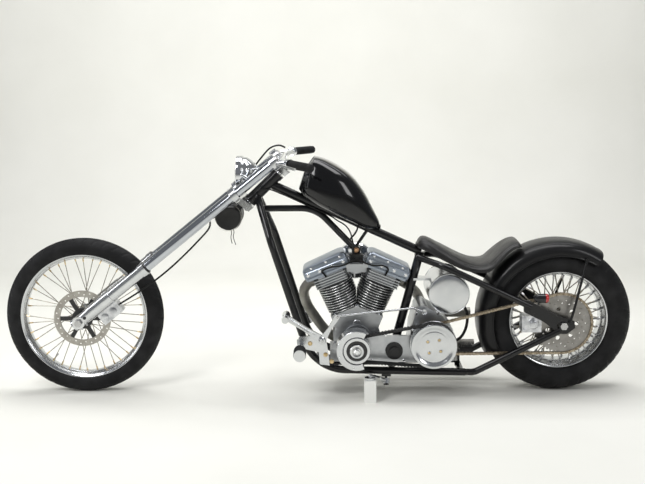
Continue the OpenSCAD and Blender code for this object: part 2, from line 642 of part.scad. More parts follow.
module fuel_tank() color("#0f0f11") {
    halves = [for (r = tank_ribs) tank_half(r)];
    m = len(halves[0]);
    // a ring is the left side up to the ridge, then the right side back down
    rings = [for (h = halves) concat(h, [for (k = [m - 2 : -1 : 1]) side(h[k], -1)])];
    n = len(rings[0]);
    last = (len(rings) - 1) * n;
    caps = concat([for (k = [2 : m - 2]) [1, k, k + 1]], [[1, m - 1, 0]],
        [for (k = [m - 1 : n - 3]) [n - 1, k, k + 1]], [[n - 1, 0, m - 1]]);
    polyhedron(points = [for (r = rings) each r], faces = concat(
        [for (i = [0 : len(rings) - 2], a = [0 : n - 1]) let (b = (a + 1) % n, lo = i * n, hi = lo + n)
            each [[lo + a, lo + b, hi + b], [lo + a, hi + b, hi + a]]],
        [for (c = caps) [c[0], c[2], c[1]]],
        [for (c = caps) [last + c[0], last + c[1], last + c[2]]]));
}

seat_side = [[268, 672], [290, 686], [312, 682], [402, 634], [471, 598], [533, 582], [572, 590],
    [610, 624], [651, 657], [690, 676], [706, 674], [713, 655]];
module seat() color("#1a1a1b") intersection() {
    difference() {
        translate([0, 130, 0]) rotate([90, 0, 0]) linear_extrude(260)
            polygon([for (p = concat(seat_side, [[600, 500], [556, 519], [402, 592], [306, 642], [268, 662]]))
                [crank_x + p[0], p[1]]]);
        across(rear_axle) cylinder(r = fender_r + 1, h = 300, center = true, $fn = 96);
    }
    translate([crank_x, 0, 400]) linear_extrude(400) polygon([[262, -52], [300, -78], [420, -118],
        [560, -124], [640, -108], [720, -86], [720, 86], [640, 108], [560, 124], [420, 118], [300, 78], [262, 52]]);
}

fender_round = 46;
module fender_section(r, half, edge) intersection() {
    union() {
        for (s = [-1, 1]) translate([r - fender_round, s * (half - fender_round)]) circle(r = fender_round);
        translate([r - 2 * fender_round, fender_round - half]) square([2 * fender_round, 2 * (half - fender_round)]);
        translate([edge - 20, -half]) square([r - fender_round - edge + 20, 2 * half]);
    }
    translate([edge, -200]) square([200, 400]);
}
module rear_fender() color("#161618") translate(rear_axle) rotate([90, 0, 0])
    rotate(58) rotate_extrude(angle = 147) difference() {
        fender_section(fender_r, fender_half, 294);
        fender_section(fender_r - 4, fender_half - 4, 290);
    }
module fender_struts() color("#161618") both() {
    bent([rear_axle + [24, -plate_out - 5.5, 12], rear_axle + [40, -plate_out - 5.5, 66],
        rear_axle + [104, -fender_half - 7, 276]], 11, 60);
    rod(rear_axle + [104, -fender_half - 13, 276], rear_axle + [104, -fender_half - seam, 276], 18);
}

module oil_tank() color("#c9cccf") {
    difference() {
        translate(f(250, -25, 500)) cube([80, 50, 10]);
        rod(seat_post_top, seat_post_foot, main_tube_d + 2 * seam);
        across(f(230, 0, 505)) cylinder(d = 40, h = 80, center = true);
    }
    across(oil_tank_c) rotate_extrude() polygon([[0, -oil_tank_l / 2], [oil_tank_d / 2 - 14, -oil_tank_l / 2],
        [oil_tank_d / 2 - 4, -oil_tank_l / 2 + 4], [oil_tank_d / 2, -oil_tank_l / 2 + 14],
        [oil_tank_d / 2, oil_tank_l / 2 - 14], [oil_tank_d / 2 - 4, oil_tank_l / 2 - 4],
        [oil_tank_d / 2 - 14, oil_tank_l / 2], [0, oil_tank_l / 2]]);
}
module tail_light() color("#1a1a1b") {
    translate(rear_axle + [-132, -stay_half - 3, 122]) rotate([0, 90, 0]) rotate_extrude()
        polygon([[0, 0], [9, 2], [16, 12], [19.5, 28], [19.5, 57], [0, 57]]);
    rod(rear_axle + [-110, -stay_half - 3, 93], rear_axle + [-110, -stay_half - 3, 112], 9);
}

// ---------- hoses, leads and small electrics ----------

// a point given on a cylinder: along its fins' length, across the machine, and up its axis from the crank
function in_cylinder(s, x, y, z) = crank + [x * cos(vee_half) + s * z * sin(vee_half), y,
    z * cos(vee_half) - s * x * sin(vee_half)];

// fuel hose from under the tank to the carburettor
fuel_path = [f(4, -26, 753), f(3, -26, 732), f(-10, -14, 706), f(-22, 8, 688), f(-26, 34, 668),
    f(-18, 58, 642), f(-6, 72, 612), f(-4, 76, 592), f(-4, 76, 578.4)];
// oil hose from the oil tank's lower back to the gearbox's back wall
oil_tank_c = f(398, 0, 458);
oil_path = [oil_tank_c + [0.7071, 0, -0.7071] * (oil_tank_d / 2 + 0.4) + [0, -30, 0],
    oil_tank_c + [0.7071, 0, -0.7071] * (oil_tank_d / 2 + 20) + [0, -30, 0], f(488, -30, 348), f(489, -30, 316),
    f(482, -30, 280), f(466, -30, 248), f(446, -30, 231), f(422.6, -30, 229)];
module hoses() color("#161618") {
    cord(fuel_path, 8, 3, 10);
    cord(oil_path, 13, 4, 12);
}

// coil under the top mount, a lead to each plug and the loom from the head along the backbone
coil_low = f(-28, -50, 588);
coil_size = [54, 34.8, 34];
plug_z = rocker_base - 4.4; // just above the head's top fin
front_lead = [in_cylinder(-1, -22, -67.6, plug_z), in_cylinder(-1, -22, -68.4, plug_z + 8),
    in_cylinder(-1, -25, -80, plug_z + 22), in_cylinder(-1, -24, -88, plug_z + 38), f(-112, -86, 577),
    f(-70, -80, 581), f(-38, -78, 592), f(-18, -70, 603), f(-12, -58, 606), f(-12, -50.3, 606)];
rear_lead = [in_cylinder(1, 9, -67.6, plug_z), in_cylinder(1, 9, -68.4, plug_z + 8),
    in_cylinder(1, 9, -78, plug_z + 22), in_cylinder(1, 5, -86, plug_z + 38), f(112, -86, 582),
    f(72, -80, 582), f(38, -78, 591), f(18, -70, 602), f(10, -58, 606), f(10, -50.3, 606)];
loom_path = [f(-428, -29.6, 902), f(-410, -31, 910), f(-388, -28.5, 911), f(-365, -24.5, 906), f(-335, -19.5, 892.5),
    f(-300, -17, 877), f(-240, -17, 849), f(-150, -17, 807.6), f(-110, -18, 788), f(-85, -22, 771), f(-60, -27, 757),
    f(-42, -31, 742), f(-28, -34, 720), f(-20, -34, 690), f(-14, -34, 655), f(-12, -34, 622.3)];
module ignition() color("#18181a") {
    translate(coil_low) cube(coil_size);
    cord(front_lead, 8, 3, 10);
    cord(rear_lead, 8, 3, 10);
    cord(loom_path, 6, 3, 8);
}

module regulator() color("#1c1c1e") translate(f(452 + seam, -76, 186)) difference() {
    cube([54, 44, 36]);
    for (k = [0 : 5]) translate([5 + 8 * k, -1, 27]) cube([4, 46, 12]);
}

// ---------- exhaust, controls, stand ----------

// the middle of a cylinder's exhaust port, this far out from its face
port_at = [84, 20]; // from the cylinder's axis, and above its top
function port(s, out) = crank + [s * ((port_at[0] + out) * cos(vee_half) + (cyl_top + port_at[1]) * sin(vee_half)),
    port_y, (cyl_top + port_at[1]) * cos(vee_half) - (port_at[0] + out) * sin(vee_half)];
front_pipe = [port(-1, 0.4), port(-1, 14), port(-1, 28), f(-234, 60, 434), f(-222, 82, 370), f(-186, 98, 306),
    f(-146, 118, 244), f(-100, 156, 192), f(-40, 188, 158), f(60, 197, 140), f(180, 199, 138),
    f(320, 200, 138), f(440, 200, 137), f(556, 200, 137)];
rear_pipe = [port(1, 0.4), port(1, 14), port(1, 28), f(244, 80, 446), f(280, 130, 402), f(308, 172, 344),
    f(350, 194, 306), f(410, 200, 293), f(470, 200, 291), f(536, 200, 291)];
module exhaust_pipes() color("#8b8780") {
    cord(front_pipe, 45, 4, 20);
    cord(rear_pipe, 45, 4, 20);
}

// a plate on the down tube carries a peg; the right one stops short of the exhaust pipe
rail_out = cradle_half + cradle_tube_d / 2 + seam;
left_plate = [[-164, 172], [-122, 166], [-124, 200], [-138, 294], [-160, 300], [-236, 296],
    [-262, 280], [-260, 240], [-226, 240], [-168, 226]];
right_plate = [[-190, 262], [-186, 300], [-236, 302], [-264, 284], [-260, 240], [-226, 240]];
module control_plate(outline, bosses) {
    translate([crank_x, -168, 0]) rotate([90, 0, 0]) linear_extrude(10) polygon(outline);
    rod(peg_left + [6, 58, 0], peg_left + [0, -16, 0], 22);
    rod(peg_left + [0, -16, 0], peg_left + [0, -92, 0], 50);
    for (p = bosses) rod(f(p[0], -rail_out, p[1]), f(p[0], -170, p[1]), 26);
}
module left_control() color("#b4b7ba") {
    control_plate(left_plate, [[-242, 282], [-152, 180]]);
    shift_linkage();
}
module right_control() color("#b4b7ba") mirror([0, 1, 0]) {
    control_plate(right_plate, [[-242, 282]]);
    rod(f(-206, -176, 282), f(-206, -196, 282), 24);
    rod(f(-206, -190, 282), f(-290, -205, 372), 13);
    rod(f(-290, -195, 372), f(-290, -255, 380), 26);
}
module shift_linkage() {
    rod(f(-153, -177, 286), f(-153, -198, 286), 24);
    rod(f(-153, -190, 286), f(-308, -205, 391), 13);
    rod(f(-308, -200, 391), f(-308, -262, 391), 28);
    rod(f(-153, -190, 286), f(-89, -190, 388), 13);
    rod(f(-89, -190, 388), f(243, -116, 401), 9);
    rod(f(243, -116, 401), f(290, -104, 380), 11);
    rod(f(290, -108, 380), f(290, -84 - seam, 380), 24);
}

module stand_bracket() difference() {
    union() {
        translate(f(104, -cradle_half - 12, 105)) cube([40, 30, 19]);
        rod(stand_pivot - stand_axis * 28, stand_pivot + stand_axis * 18, stand_pin_d);
        rod(stand_pivot - stand_axis * 30, stand_pivot - stand_axis * (22 + run_gap), 22);
    }
    both() bent(cradle_path, cradle_tube_d + 2 * seam, 195);
}
stand_pin_d = 12;
module side_stand() color("#b9bcbf") difference() {
    union() {
        rod(stand_pivot - stand_axis * 11, stand_foot + floor_up * 14, stand_d);
        rod(stand_foot, stand_foot + floor_up * 9, 46);
        rod(stand_pivot - stand_axis * 22, stand_pivot, 32);
    }
    rod(stand_pivot - stand_axis * 40, stand_pivot + stand_axis * 20, stand_pin_d + run_gap);
    translate(stand_foot) rotate([-lean, 0, 0]) translate([-50, -50, -40]) cube([100, 100, 40]);
}
module stand_block() color("#f2f2f0") translate([stand_foot.x - 25, 0, 0])
    translate([0, stand_foot.y * cos(lean) - stand_foot.z * sin(lean) + lean_shift - 30, 0]) cube([50, 60, block_h]);

module rear_caliper() color("#2a2a2c") difference() {
    union() {
        translate(rear_axle + [-176, -plate_in + 3, -32]) cube([84, 56, 72]);
        rod(rear_axle + [-112, -plate_in, 34], rear_axle + [-112, chain_y - 10, 34], 28);
    }
    across(rear_axle + [0, chain_y, 0]) cylinder(r = rear_sprocket_d / 2 + 5, h = 16, center = true);
}

// ---------- fork and steering ----------

module tree_plate(reach) linear_extrude(tree_t, center = true) difference() {
    union() {
        for (s = [-1, 1]) translate([0, s * leg_y]) circle(d = fork_tube_d + 24);
        translate([reach, 0]) circle(d = 62);
        polygon([[-22, -leg_y], [24, -30], [24, 30], [-22, leg_y], [30, leg_y], [reach + 30, 20], [reach + 30, -20], [30, -leg_y]]);
    }
    for (s = [-1, 1]) translate([0, s * leg_y]) circle(d = fork_tube_d + 2 * seam);
}
module lower_tree() {
    on_leg(lower_tree_at) tree_plate(stem_reach(lower_tree_at));
    rod(stem_bottom - steer_dir * 20, stem_top, stem_d);
    rod(stem_bottom - steer_dir * 24, stem_bottom, 44);
}
module top_tree() {
    on_leg(top_tree_at) tree_plate(stem_reach(top_tree_at));
    rod(stem_top, stem_top + steer_dir * 26, 36);
}
module fork_trees() color("#c2c5c8") {
    lower_tree();
    top_tree();
}
module fork_tubes() color("#d9dcdf") both() on_leg(slider_l + seam) translate([0, -leg_y, 0]) {
    cylinder(d = fork_tube_d, h = top_tree_at - slider_l + tree_t / 2 + 1);
    cylinder(d = 32, h = top_tree_at - slider_l + tree_t / 2 + 4, $fn = 6);
}
module sliders() color("#cfd2d4") both() on_leg() translate([0, -leg_y, 0]) difference() {
    union() {
        translate([0, 0, -30]) cylinder(d = slider_d - 6, h = slider_l + 30);
        translate([0, 0, slider_l - 26]) cylinder(d = slider_d, h = 26);
        translate([0, 0, 60]) cylinder(d = slider_d, h = 120);
        rotate([90, 0, 0]) cylinder(d = 54, h = 56, center = true);
    }
    rotate([90, 0, 0]) cylinder(d = axle_d + 2 * seam, h = 90, center = true);
}
module front_axle_bolt() color("#c9cbce") across(front_axle) {
    cylinder(d = axle_d, h = leg_spacing + 80, center = true);
    for (s = [-1, 1]) translate([0, 0, s * (leg_y + 28 + 7)]) cylinder(d = 34, h = 12, center = true, $fn = 6);
    for (s = [-1, 1]) translate([0, 0, s * (leg_y - 28 - 3 - seam)]) cylinder(d = 32, h = 6, center = true);
}

light_c = f(-519, 0, 978);
light_shell = [[0, 0], [0.94, 0], [1, 6], [1, 22], [0.93, 30], [0.9, 44], [0.75, 62], [0.52, 80], [0.25, 94], [0, 98]];
module headlight() color("#cdd0d3") difference() {
    light_and_ears();
    for (s = [-1, 1]) rod(front_axle + [0, s * leg_y, 0], front_axle + [0, s * leg_y, 0] + 1300 * leg_dir,
        fork_tube_d + 2 * seam);
}
module light_and_ears() {
    translate(light_c) rotate([0, 90, 0]) rotate_extrude()
        polygon([for (p = light_shell) [p[0] * headlight_d / 2, p[1]]]);
    both() rod(light_c + [46, -headlight_d / 2 * 0.86, 0], light_c + [86, -leg_y + fork_tube_d / 2 + seam, 0], 14);
}

bar_path = [f(-315, 0, 1044), f(-317, -120, 1045), f(-281, -240, 1046), f(-194, -bar_half, bar_z)];
module handlebar() color("#cdd0d3") {
    bent(concat([for (k = [3 : -1 : 1]) bar_path[k]], [for (k = [1 : 3]) side(bar_path[k], -1)]), bar_d, 70);
    // clamps on the top tree, standing square to it
    both() on_leg(top_tree_at + tree_t / 2 + seam)
        translate([(bar_path[0] - front_axle) * leg_perp, -42, 0])
            cylinder(d = 30, h = (bar_path[0] - front_axle) * leg_dir - top_tree_at - tree_t / 2);
    levers();
}
module grips() color("#17171a") both() {
    u = unit(bar_path[3] - bar_path[2]);
    difference() {
        rod(bar_path[3] - u * 128, bar_path[3] + u * 6, 36);
        bent([for (k = [1 : 3]) bar_path[k]], bar_d + 2 * seam, 70);
    }
}
module levers() both() {
    u = unit(bar_path[3] - bar_path[2]);
    g = bar_path[3] - u * 150;
    rod(g - u * 2, g + u * 16, 42);
    rod(g + [-16, 0, 0], g + [-46, -8, -2], 22);
    rod(g + [-46, -8, -2], g + u * 150 + [-64, -6, -4], 11);
}

module front_caliper() color("#1c1c1e") on_leg(0) difference() {
    union() {
        translate([22, front_disc_y - 26, 66]) cube([64, 50, 104]);
        translate([-6, -leg_y + slider_d / 2 - 3, 80]) cube([50, 16, 74]);
    }
    rotate([90, 0, 0]) translate([0, 0, -front_disc_y]) cylinder(r = front_disc_d / 2 + 4, h = 13, center = true);
    translate([0, -leg_y, 0]) cylinder(d = slider_d + 2 * seam, h = 400);
}

// front brake hose: from the caliper up behind the left leg, before the tool roll, under the right
// leg and up outside it to the lever on the right grip
hose_path = [front_axle + 170.3 * leg_dir + 54 * leg_perp + [0, -62, 0],
    front_axle + 200 * leg_dir + 58 * leg_perp + [0, -64, 0], f(-960, -67, 462), f(-887, -68, 513),
    f(-820, -68, 566), f(-759, -66, 621), f(-690, -62, 690), f(-642, -48, 744), f(-640, -10, 776),
    f(-632, 40, 788), f(-616, 86, 792), f(-578, 126, 806), f(-536, 152, 862), f(-500, 158, 920),
    f(-460, 160, 980), f(-416, 168, 1036), f(-384, 184, 1068), f(-346, 206, 1078), f(-318, 222, 1066)];
module brake_hose() color("#141416") cord(hose_path, 8, 4, 10);

roll_c = f(-556, 0, 795);
module tool_roll() color("#222022") {
    across(roll_c) rotate_extrude() polygon([[0, -80], [50, -80], [58, -72], [61, -54],
        [61, 54], [58, 72], [50, 80], [0, 80]]);
    // two straps hang it from the lower tree
    both() on_leg(lower_tree_at - tree_t / 2 - 36) translate([44, -60, 0]) cube([26, 18, 36 - seam]);
}

module part(name) leaned() children();

part("steering_head") steering_head();
part("backbone") backbone();
part("upper_brace") upper_brace();
part("down_tubes") down_tubes();
part("lower_rails") lower_rails();
part("rear_stays") rear_stays();
part("seat_post") seat_post();
part("axle_plates") axle_plates();
part("cross_members") cross_members();
part("rear_axle_bolt") rear_axle_bolt();
part("crankcase") crankcase();
part("cylinder_barrels") cylinder_barrels();
part("cylinder_heads") cylinder_heads();
part("rocker_boxes") rocker_boxes();
part("pushrod_tubes") pushrod_tubes();
part("gearcase_cover") gearcase_cover();
part("carburettor") carburettor();
part("air_cleaner") air_cleaner();
part("motor_plate") motor_plate();
part("engine_pulley") engine_pulley();
part("primary_belt") primary_belt();
part("clutch") clutch();
part("starter") starter();
part("gearbox") gearbox();
part("chain") chain();
part("fuel_tank") fuel_tank();
part("seat") seat();
part("rear_fender") rear_fender();
part("fender_struts") fender_struts();
part("oil_tank") oil_tank();
part("tail_light") tail_light();
part("hoses") hoses();
part("ignition") ignition();
part("regulator") regulator();
part("exhaust_pipes") exhaust_pipes();
part("left_control") left_control();
part("right_control") right_control();
part("rear_caliper") rear_caliper();
stand_block();
part("side_stand") side_stand();
part("front_tyre") front_tyre();
part("front_rim") front_rim();
part("front_hub") front_hub();
part("front_spokes") front_spokes();
part("front_disc") front_disc();
part("rear_tyre") rear_tyre();
part("rear_rim") rear_rim();
part("rear_hub") rear_hub();
part("rear_spokes") rear_spokes();
part("sprocket_disc") sprocket_disc();
part("fork_trees") fork_trees();
part("fork_tubes") fork_tubes();
part("sliders") sliders();
part("front_axle_bolt") front_axle_bolt();
part("headlight") headlight();
part("handlebar") handlebar();
part("grips") grips();
part("front_caliper") front_caliper();
part("brake_hose") brake_hose();
part("tool_roll") tool_roll();
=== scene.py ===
# Chopper motorcycle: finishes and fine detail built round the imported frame.
import json
import math

import bmesh
import bpy
import numpy as np
from mathutils import Matrix, Vector


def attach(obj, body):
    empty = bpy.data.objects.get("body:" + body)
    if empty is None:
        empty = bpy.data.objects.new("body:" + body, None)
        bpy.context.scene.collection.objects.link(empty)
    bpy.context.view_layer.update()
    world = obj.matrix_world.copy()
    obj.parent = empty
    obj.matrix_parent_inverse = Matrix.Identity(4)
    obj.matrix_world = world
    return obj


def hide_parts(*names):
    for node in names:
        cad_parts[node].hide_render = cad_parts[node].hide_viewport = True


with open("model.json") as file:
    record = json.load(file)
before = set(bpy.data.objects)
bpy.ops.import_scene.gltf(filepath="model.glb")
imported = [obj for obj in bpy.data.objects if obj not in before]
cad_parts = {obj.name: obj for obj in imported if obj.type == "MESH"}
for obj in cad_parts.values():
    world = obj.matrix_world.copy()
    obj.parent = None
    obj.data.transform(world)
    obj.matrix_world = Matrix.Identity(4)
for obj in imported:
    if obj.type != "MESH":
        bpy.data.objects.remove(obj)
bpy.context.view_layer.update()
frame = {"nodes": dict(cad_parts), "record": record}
print("frame loaded:", len(frame["nodes"]), "nodes")

# ---------- stance, shared by every piece, in metres ----------

stance = {"lean": math.radians(4), "shift": 0.072686, "lift": 0.0002436, "crankX": 0.16975}
frontAxle = np.array([-1.03525, 0, 0.3475])
rearAxle = np.array([1.05475, 0, 0.328])
leanTurn = Matrix.Rotation(stance["lean"], 4, "X")
toFloor = Matrix.Translation((0, stance["shift"], stance["lift"])) @ leanTurn
toFloorArray = np.array(toFloor)


def fromCrank(x, y, z):
    # a place given from the crankshaft along X and from the floor along Z, in millimetres
    return np.array([stance["crankX"] + x / 1000, y / 1000, z / 1000])


def unit(v):
    v = np.asarray(v, float)
    return v / np.linalg.norm(v)


def leaned(points):
    # upright machine to its place on the side stand
    p = np.asarray(points, float)
    return p @ toFloorArray[:3, :3].T + toFloorArray[:3, 3]


# ---------- camera ----------

cameraFit = {"place": (0.0207, -4.150, 1.243), "lens": 53.32, "pitch": 4.236, "yaw": -0.018, "roll": 0.35,
             "shift": -0.093}
cameraData = bpy.data.cameras.new("camera")
camera = bpy.data.objects.new("camera", cameraData)
bpy.context.collection.objects.link(camera)
bpy.context.scene.camera = camera
cameraData.lens = cameraFit["lens"]
cameraData.sensor_width = 36
cameraData.clip_end = 60
cameraData.shift_y = cameraFit["shift"]
camera.matrix_world = (Matrix.Translation(cameraFit["place"])
                       @ Matrix.Rotation(math.radians(cameraFit["yaw"]), 4, "Z")
                       @ Matrix.Rotation(math.radians(90 - cameraFit["pitch"]), 4, "X")
                       @ Matrix.Rotation(math.radians(-cameraFit["roll"]), 4, "Z"))

# ---------- materials ----------


finishes = {}  # every material by its name


def material(name, color, metallic=0.0, roughness=0.5, **more):
    m = finishes[name] = bpy.data.materials.new(name)
    m.use_nodes = True
    shader = m.node_tree.nodes["Principled BSDF"]
    shader.inputs["Base Color"].default_value = (*color, 1)
    shader.inputs["Metallic"].default_value = metallic
    shader.inputs["Roughness"].default_value = roughness
    for key, value in more.items():
        shader.inputs[key.replace("_", " ")].default_value = value
    return m


def link(m, a, out, b, into):
    m.node_tree.links.new(a.outputs[out], b.inputs[into])


def objectNoise(m, scale, detail=4.0, stretch=(1, 1, 1), turn=(0, 0, 0)):
    # noise over Object coordinates, drawn out along an axis by stretch
    place = m.node_tree.nodes.new("ShaderNodeTexCoord")
    mapping = m.node_tree.nodes.new("ShaderNodeMapping")
    mapping.inputs["Scale"].default_value = stretch
    mapping.inputs["Rotation"].default_value = turn
    noise = m.node_tree.nodes.new("ShaderNodeTexNoise")
    noise.inputs["Scale"].default_value = scale
    noise.inputs["Detail"].default_value = detail
    link(m, place, "Object", mapping, "Vector")
    link(m, mapping, "Vector", noise, "Vector")
    return noise


def varyRoughness(m, noise, low, high):
    ramp = m.node_tree.nodes.new("ShaderNodeMapRange")
    ramp.inputs["From Min"].default_value = 0.3
    ramp.inputs["From Max"].default_value = 0.7
    ramp.inputs["To Min"].default_value = low
    ramp.inputs["To Max"].default_value = high
    link(m, noise, "Fac", ramp, "Value")
    link(m, ramp, "Result", m.node_tree.nodes["Principled BSDF"], "Roughness")


def varyColor(m, noise, dark, light, low=0.35, high=0.65):
    ramp = m.node_tree.nodes.new("ShaderNodeValToRGB")
    ramp.color_ramp.elements[0].position = low
    ramp.color_ramp.elements[0].color = (*dark, 1)
    ramp.color_ramp.elements[1].position = high
    ramp.color_ramp.elements[1].color = (*light, 1)
    link(m, noise, "Fac", ramp, "Fac")
    link(m, ramp, "Color", m.node_tree.nodes["Principled BSDF"], "Base Color")


def bumpy(m, noise, strength, distance):
    bump = m.node_tree.nodes.new("ShaderNodeBump")
    bump.inputs["Strength"].default_value = strength
    bump.inputs["Distance"].default_value = distance
    link(m, noise, "Fac", bump, "Height")
    link(m, bump, "Normal", m.node_tree.nodes["Principled BSDF"], "Normal")
    return bump


def makePaint(name, color, rough, coat):
    # enamel: faint orange peel in the surface and a little dust in the roughness
    m = material(name, color, 0.0, rough, Coat_Weight=coat, Coat_Roughness=0.03, Coat_IOR=1.38,
                 Specular_IOR_Level=0.18)
    varyRoughness(m, objectNoise(m, 6.0), rough * 0.8, rough * 1.3)
    bumpy(m, objectNoise(m, 260.0, 2.0), 0.04, 0.0004)
    return m


def makeMetal(name, dark, light, low, high, scale=9.0, stretch=(1, 1, 1), grain=0.0, grainScale=600.0):
    # bare metal: cloudy colour, uneven polish and, where grain is set, a cast or brushed skin
    m = material(name, light, 1.0, low)
    varyColor(m, objectNoise(m, scale, 5.0, stretch), dark, light)
    varyRoughness(m, objectNoise(m, scale * 2.3, 5.0, stretch), low, high)
    if grain:
        bumpy(m, objectNoise(m, grainScale, 3.0, stretch), grain, 0.0006)
    return m


makePaint("frame_black", (0.004, 0.004, 0.0045), 0.30, 0.8)
makePaint("tank_black", (0.003, 0.003, 0.0035), 0.14, 1.0)
makePaint("fender_black", (0.006, 0.006, 0.0065), 0.36, 0.3)
makeMetal("polished_alloy", (0.60, 0.615, 0.63), (0.66, 0.67, 0.68), 0.17, 0.24, 18.0)
makeMetal("cast_alloy", (0.44, 0.455, 0.47), (0.51, 0.52, 0.535), 0.32, 0.40, 30.0,
          grain=0.25, grainScale=420.0)
makeMetal("finned_alloy", (0.085, 0.085, 0.087), (0.12, 0.12, 0.122), 0.42, 0.52, 40.0,
          grain=0.3, grainScale=420.0)
# painted highlight: bright metal for the rings on the fin edges, in place of the light a bevel catches
makeMetal("fin_edge_highlight", (0.66, 0.66, 0.66), (0.74, 0.74, 0.74), 0.24, 0.30, 40.0)
makeMetal("rocker_alloy", (0.30, 0.335, 0.39), (0.335, 0.37, 0.42), 0.30, 0.36, 12.0,
          grain=0.08, grainScale=500.0)
makeMetal("chrome", (0.70, 0.71, 0.73), (0.75, 0.76, 0.77), 0.05, 0.09, 5.0)
makeMetal("leg_chrome", (0.50, 0.52, 0.56), (0.56, 0.58, 0.61), 0.05, 0.09, 5.0)
makeMetal("axle_steel", (0.46, 0.46, 0.46), (0.54, 0.54, 0.54), 0.24, 0.32, 60.0)
makeMetal("disc_steel", (0.24, 0.23, 0.215), (0.32, 0.31, 0.295), 0.30, 0.42, 30.0,
          grain=0.1, grainScale=900.0)
makeMetal("chain_steel", (0.20, 0.16, 0.11), (0.50, 0.43, 0.33), 0.32, 0.55, 120.0)
makeMetal("spoke_steel", (0.26, 0.235, 0.19), (0.42, 0.39, 0.34), 0.24, 0.36, 30.0)
makeMetal("exhaust_steel", (0.13, 0.125, 0.115), (0.34, 0.33, 0.30), 0.38, 0.60, 8.0,
          grain=0.12, grainScale=300.0)
makePaint("caliper_black", (0.02, 0.02, 0.022), 0.42, 0.1)
makeMetal("caliper_alloy", (0.45, 0.46, 0.48), (0.72, 0.73, 0.75), 0.24, 0.42, 40.0,
          grain=0.15)
makePaint("starter_black", (0.016, 0.016, 0.017), 0.34, 0.4)
makePaint("lamp_black", (0.012, 0.012, 0.013), 0.16, 1.0)
makeMetal("copper", (0.42, 0.22, 0.11), (0.75, 0.47, 0.28), 0.26, 0.42, 80.0)
makeMetal("brass", (0.45, 0.33, 0.16), (0.78, 0.62, 0.38), 0.22, 0.38, 70.0)
material("block_white", (0.84, 0.84, 0.81), 0.0, 0.55)
material("lens_red", (0.42, 0.012, 0.01), 0.0, 0.08, Coat_Weight=1.0,
         Subsurface_Weight=0.2)
material("glass", (0.92, 0.95, 0.96), 0.0, 0.03, Transmission_Weight=1.0, IOR=1.45)
makeMetal("reflector", (0.80, 0.82, 0.84), (0.95, 0.95, 0.95), 0.08, 0.16, 40.0)


def makeRubber(name, color, rough, scale, grain):
    m = material(name, color, 0.0, rough, Specular_IOR_Level=0.2)
    dusty = tuple(min(1, c * 2.2 + 0.006) for c in color)
    varyColor(m, objectNoise(m, 14.0, 5.0), color, dusty, 0.40, 0.78)
    bumpy(m, objectNoise(m, scale, 3.0), grain, 0.0005)
    return m


makeRubber("tyre_rubber", (0.0065, 0.0065, 0.007), 0.66, 700.0, 0.12)
makeRubber("belt_rubber", (0.012, 0.012, 0.012), 0.60, 700.0, 0.15)
makeRubber("grip_rubber", (0.012, 0.012, 0.013), 0.66, 500.0, 0.25)
makeRubber("hose_rubber", (0.010, 0.010, 0.010), 0.46, 800.0, 0.08)
blockWhite = finishes["block_white"]
varyRoughness(blockWhite, objectNoise(blockWhite, 30.0), 0.45, 0.7)
bumpy(blockWhite, objectNoise(blockWhite, 180.0, 3.0, (1, 1, 0.15)), 0.2, 0.0008)


def makeLeather(name, color, scale, rough):
    # hide: Voronoi cells for the grain, broad creases over them, satin sheen
    m = material(name, color, 0.0, rough, Specular_IOR_Level=0.3, Coat_Weight=0.12, Coat_Roughness=0.35)
    place = m.node_tree.nodes.new("ShaderNodeTexCoord")
    cells = m.node_tree.nodes.new("ShaderNodeTexVoronoi")
    cells.feature = "DISTANCE_TO_EDGE"
    cells.inputs["Scale"].default_value = scale
    link(m, place, "Object", cells, "Vector")
    fine = m.node_tree.nodes.new("ShaderNodeBump")
    fine.inputs["Strength"].default_value = 0.28
    fine.inputs["Distance"].default_value = 0.0006
    link(m, cells, "Distance", fine, "Height")
    crease = bumpy(m, objectNoise(m, 26.0, 6.0, (1, 1.6, 1)), 0.35, 0.003)
    link(m, fine, "Normal", crease, "Normal")
    varyRoughness(m, objectNoise(m, 18.0, 4.0), rough * 0.8, min(1, rough * 1.3))
    varyColor(m, objectNoise(m, 10.0, 4.0), color, tuple(c * 1.9 + 0.004 for c in color))
    return m


makeLeather("seat_leather", (0.0075, 0.0072, 0.007), 420.0, 0.36)
makeLeather("roll_leather", (0.008, 0.0077, 0.0075), 420.0, 0.42)
material("stitch", (0.55, 0.52, 0.45), 0.0, 0.8)
varyColor(finishes["stitch"], objectNoise(finishes["stitch"], 300.0), (0.36, 0.34, 0.29), (0.62, 0.59, 0.52))
print("finishes:", len(finishes))


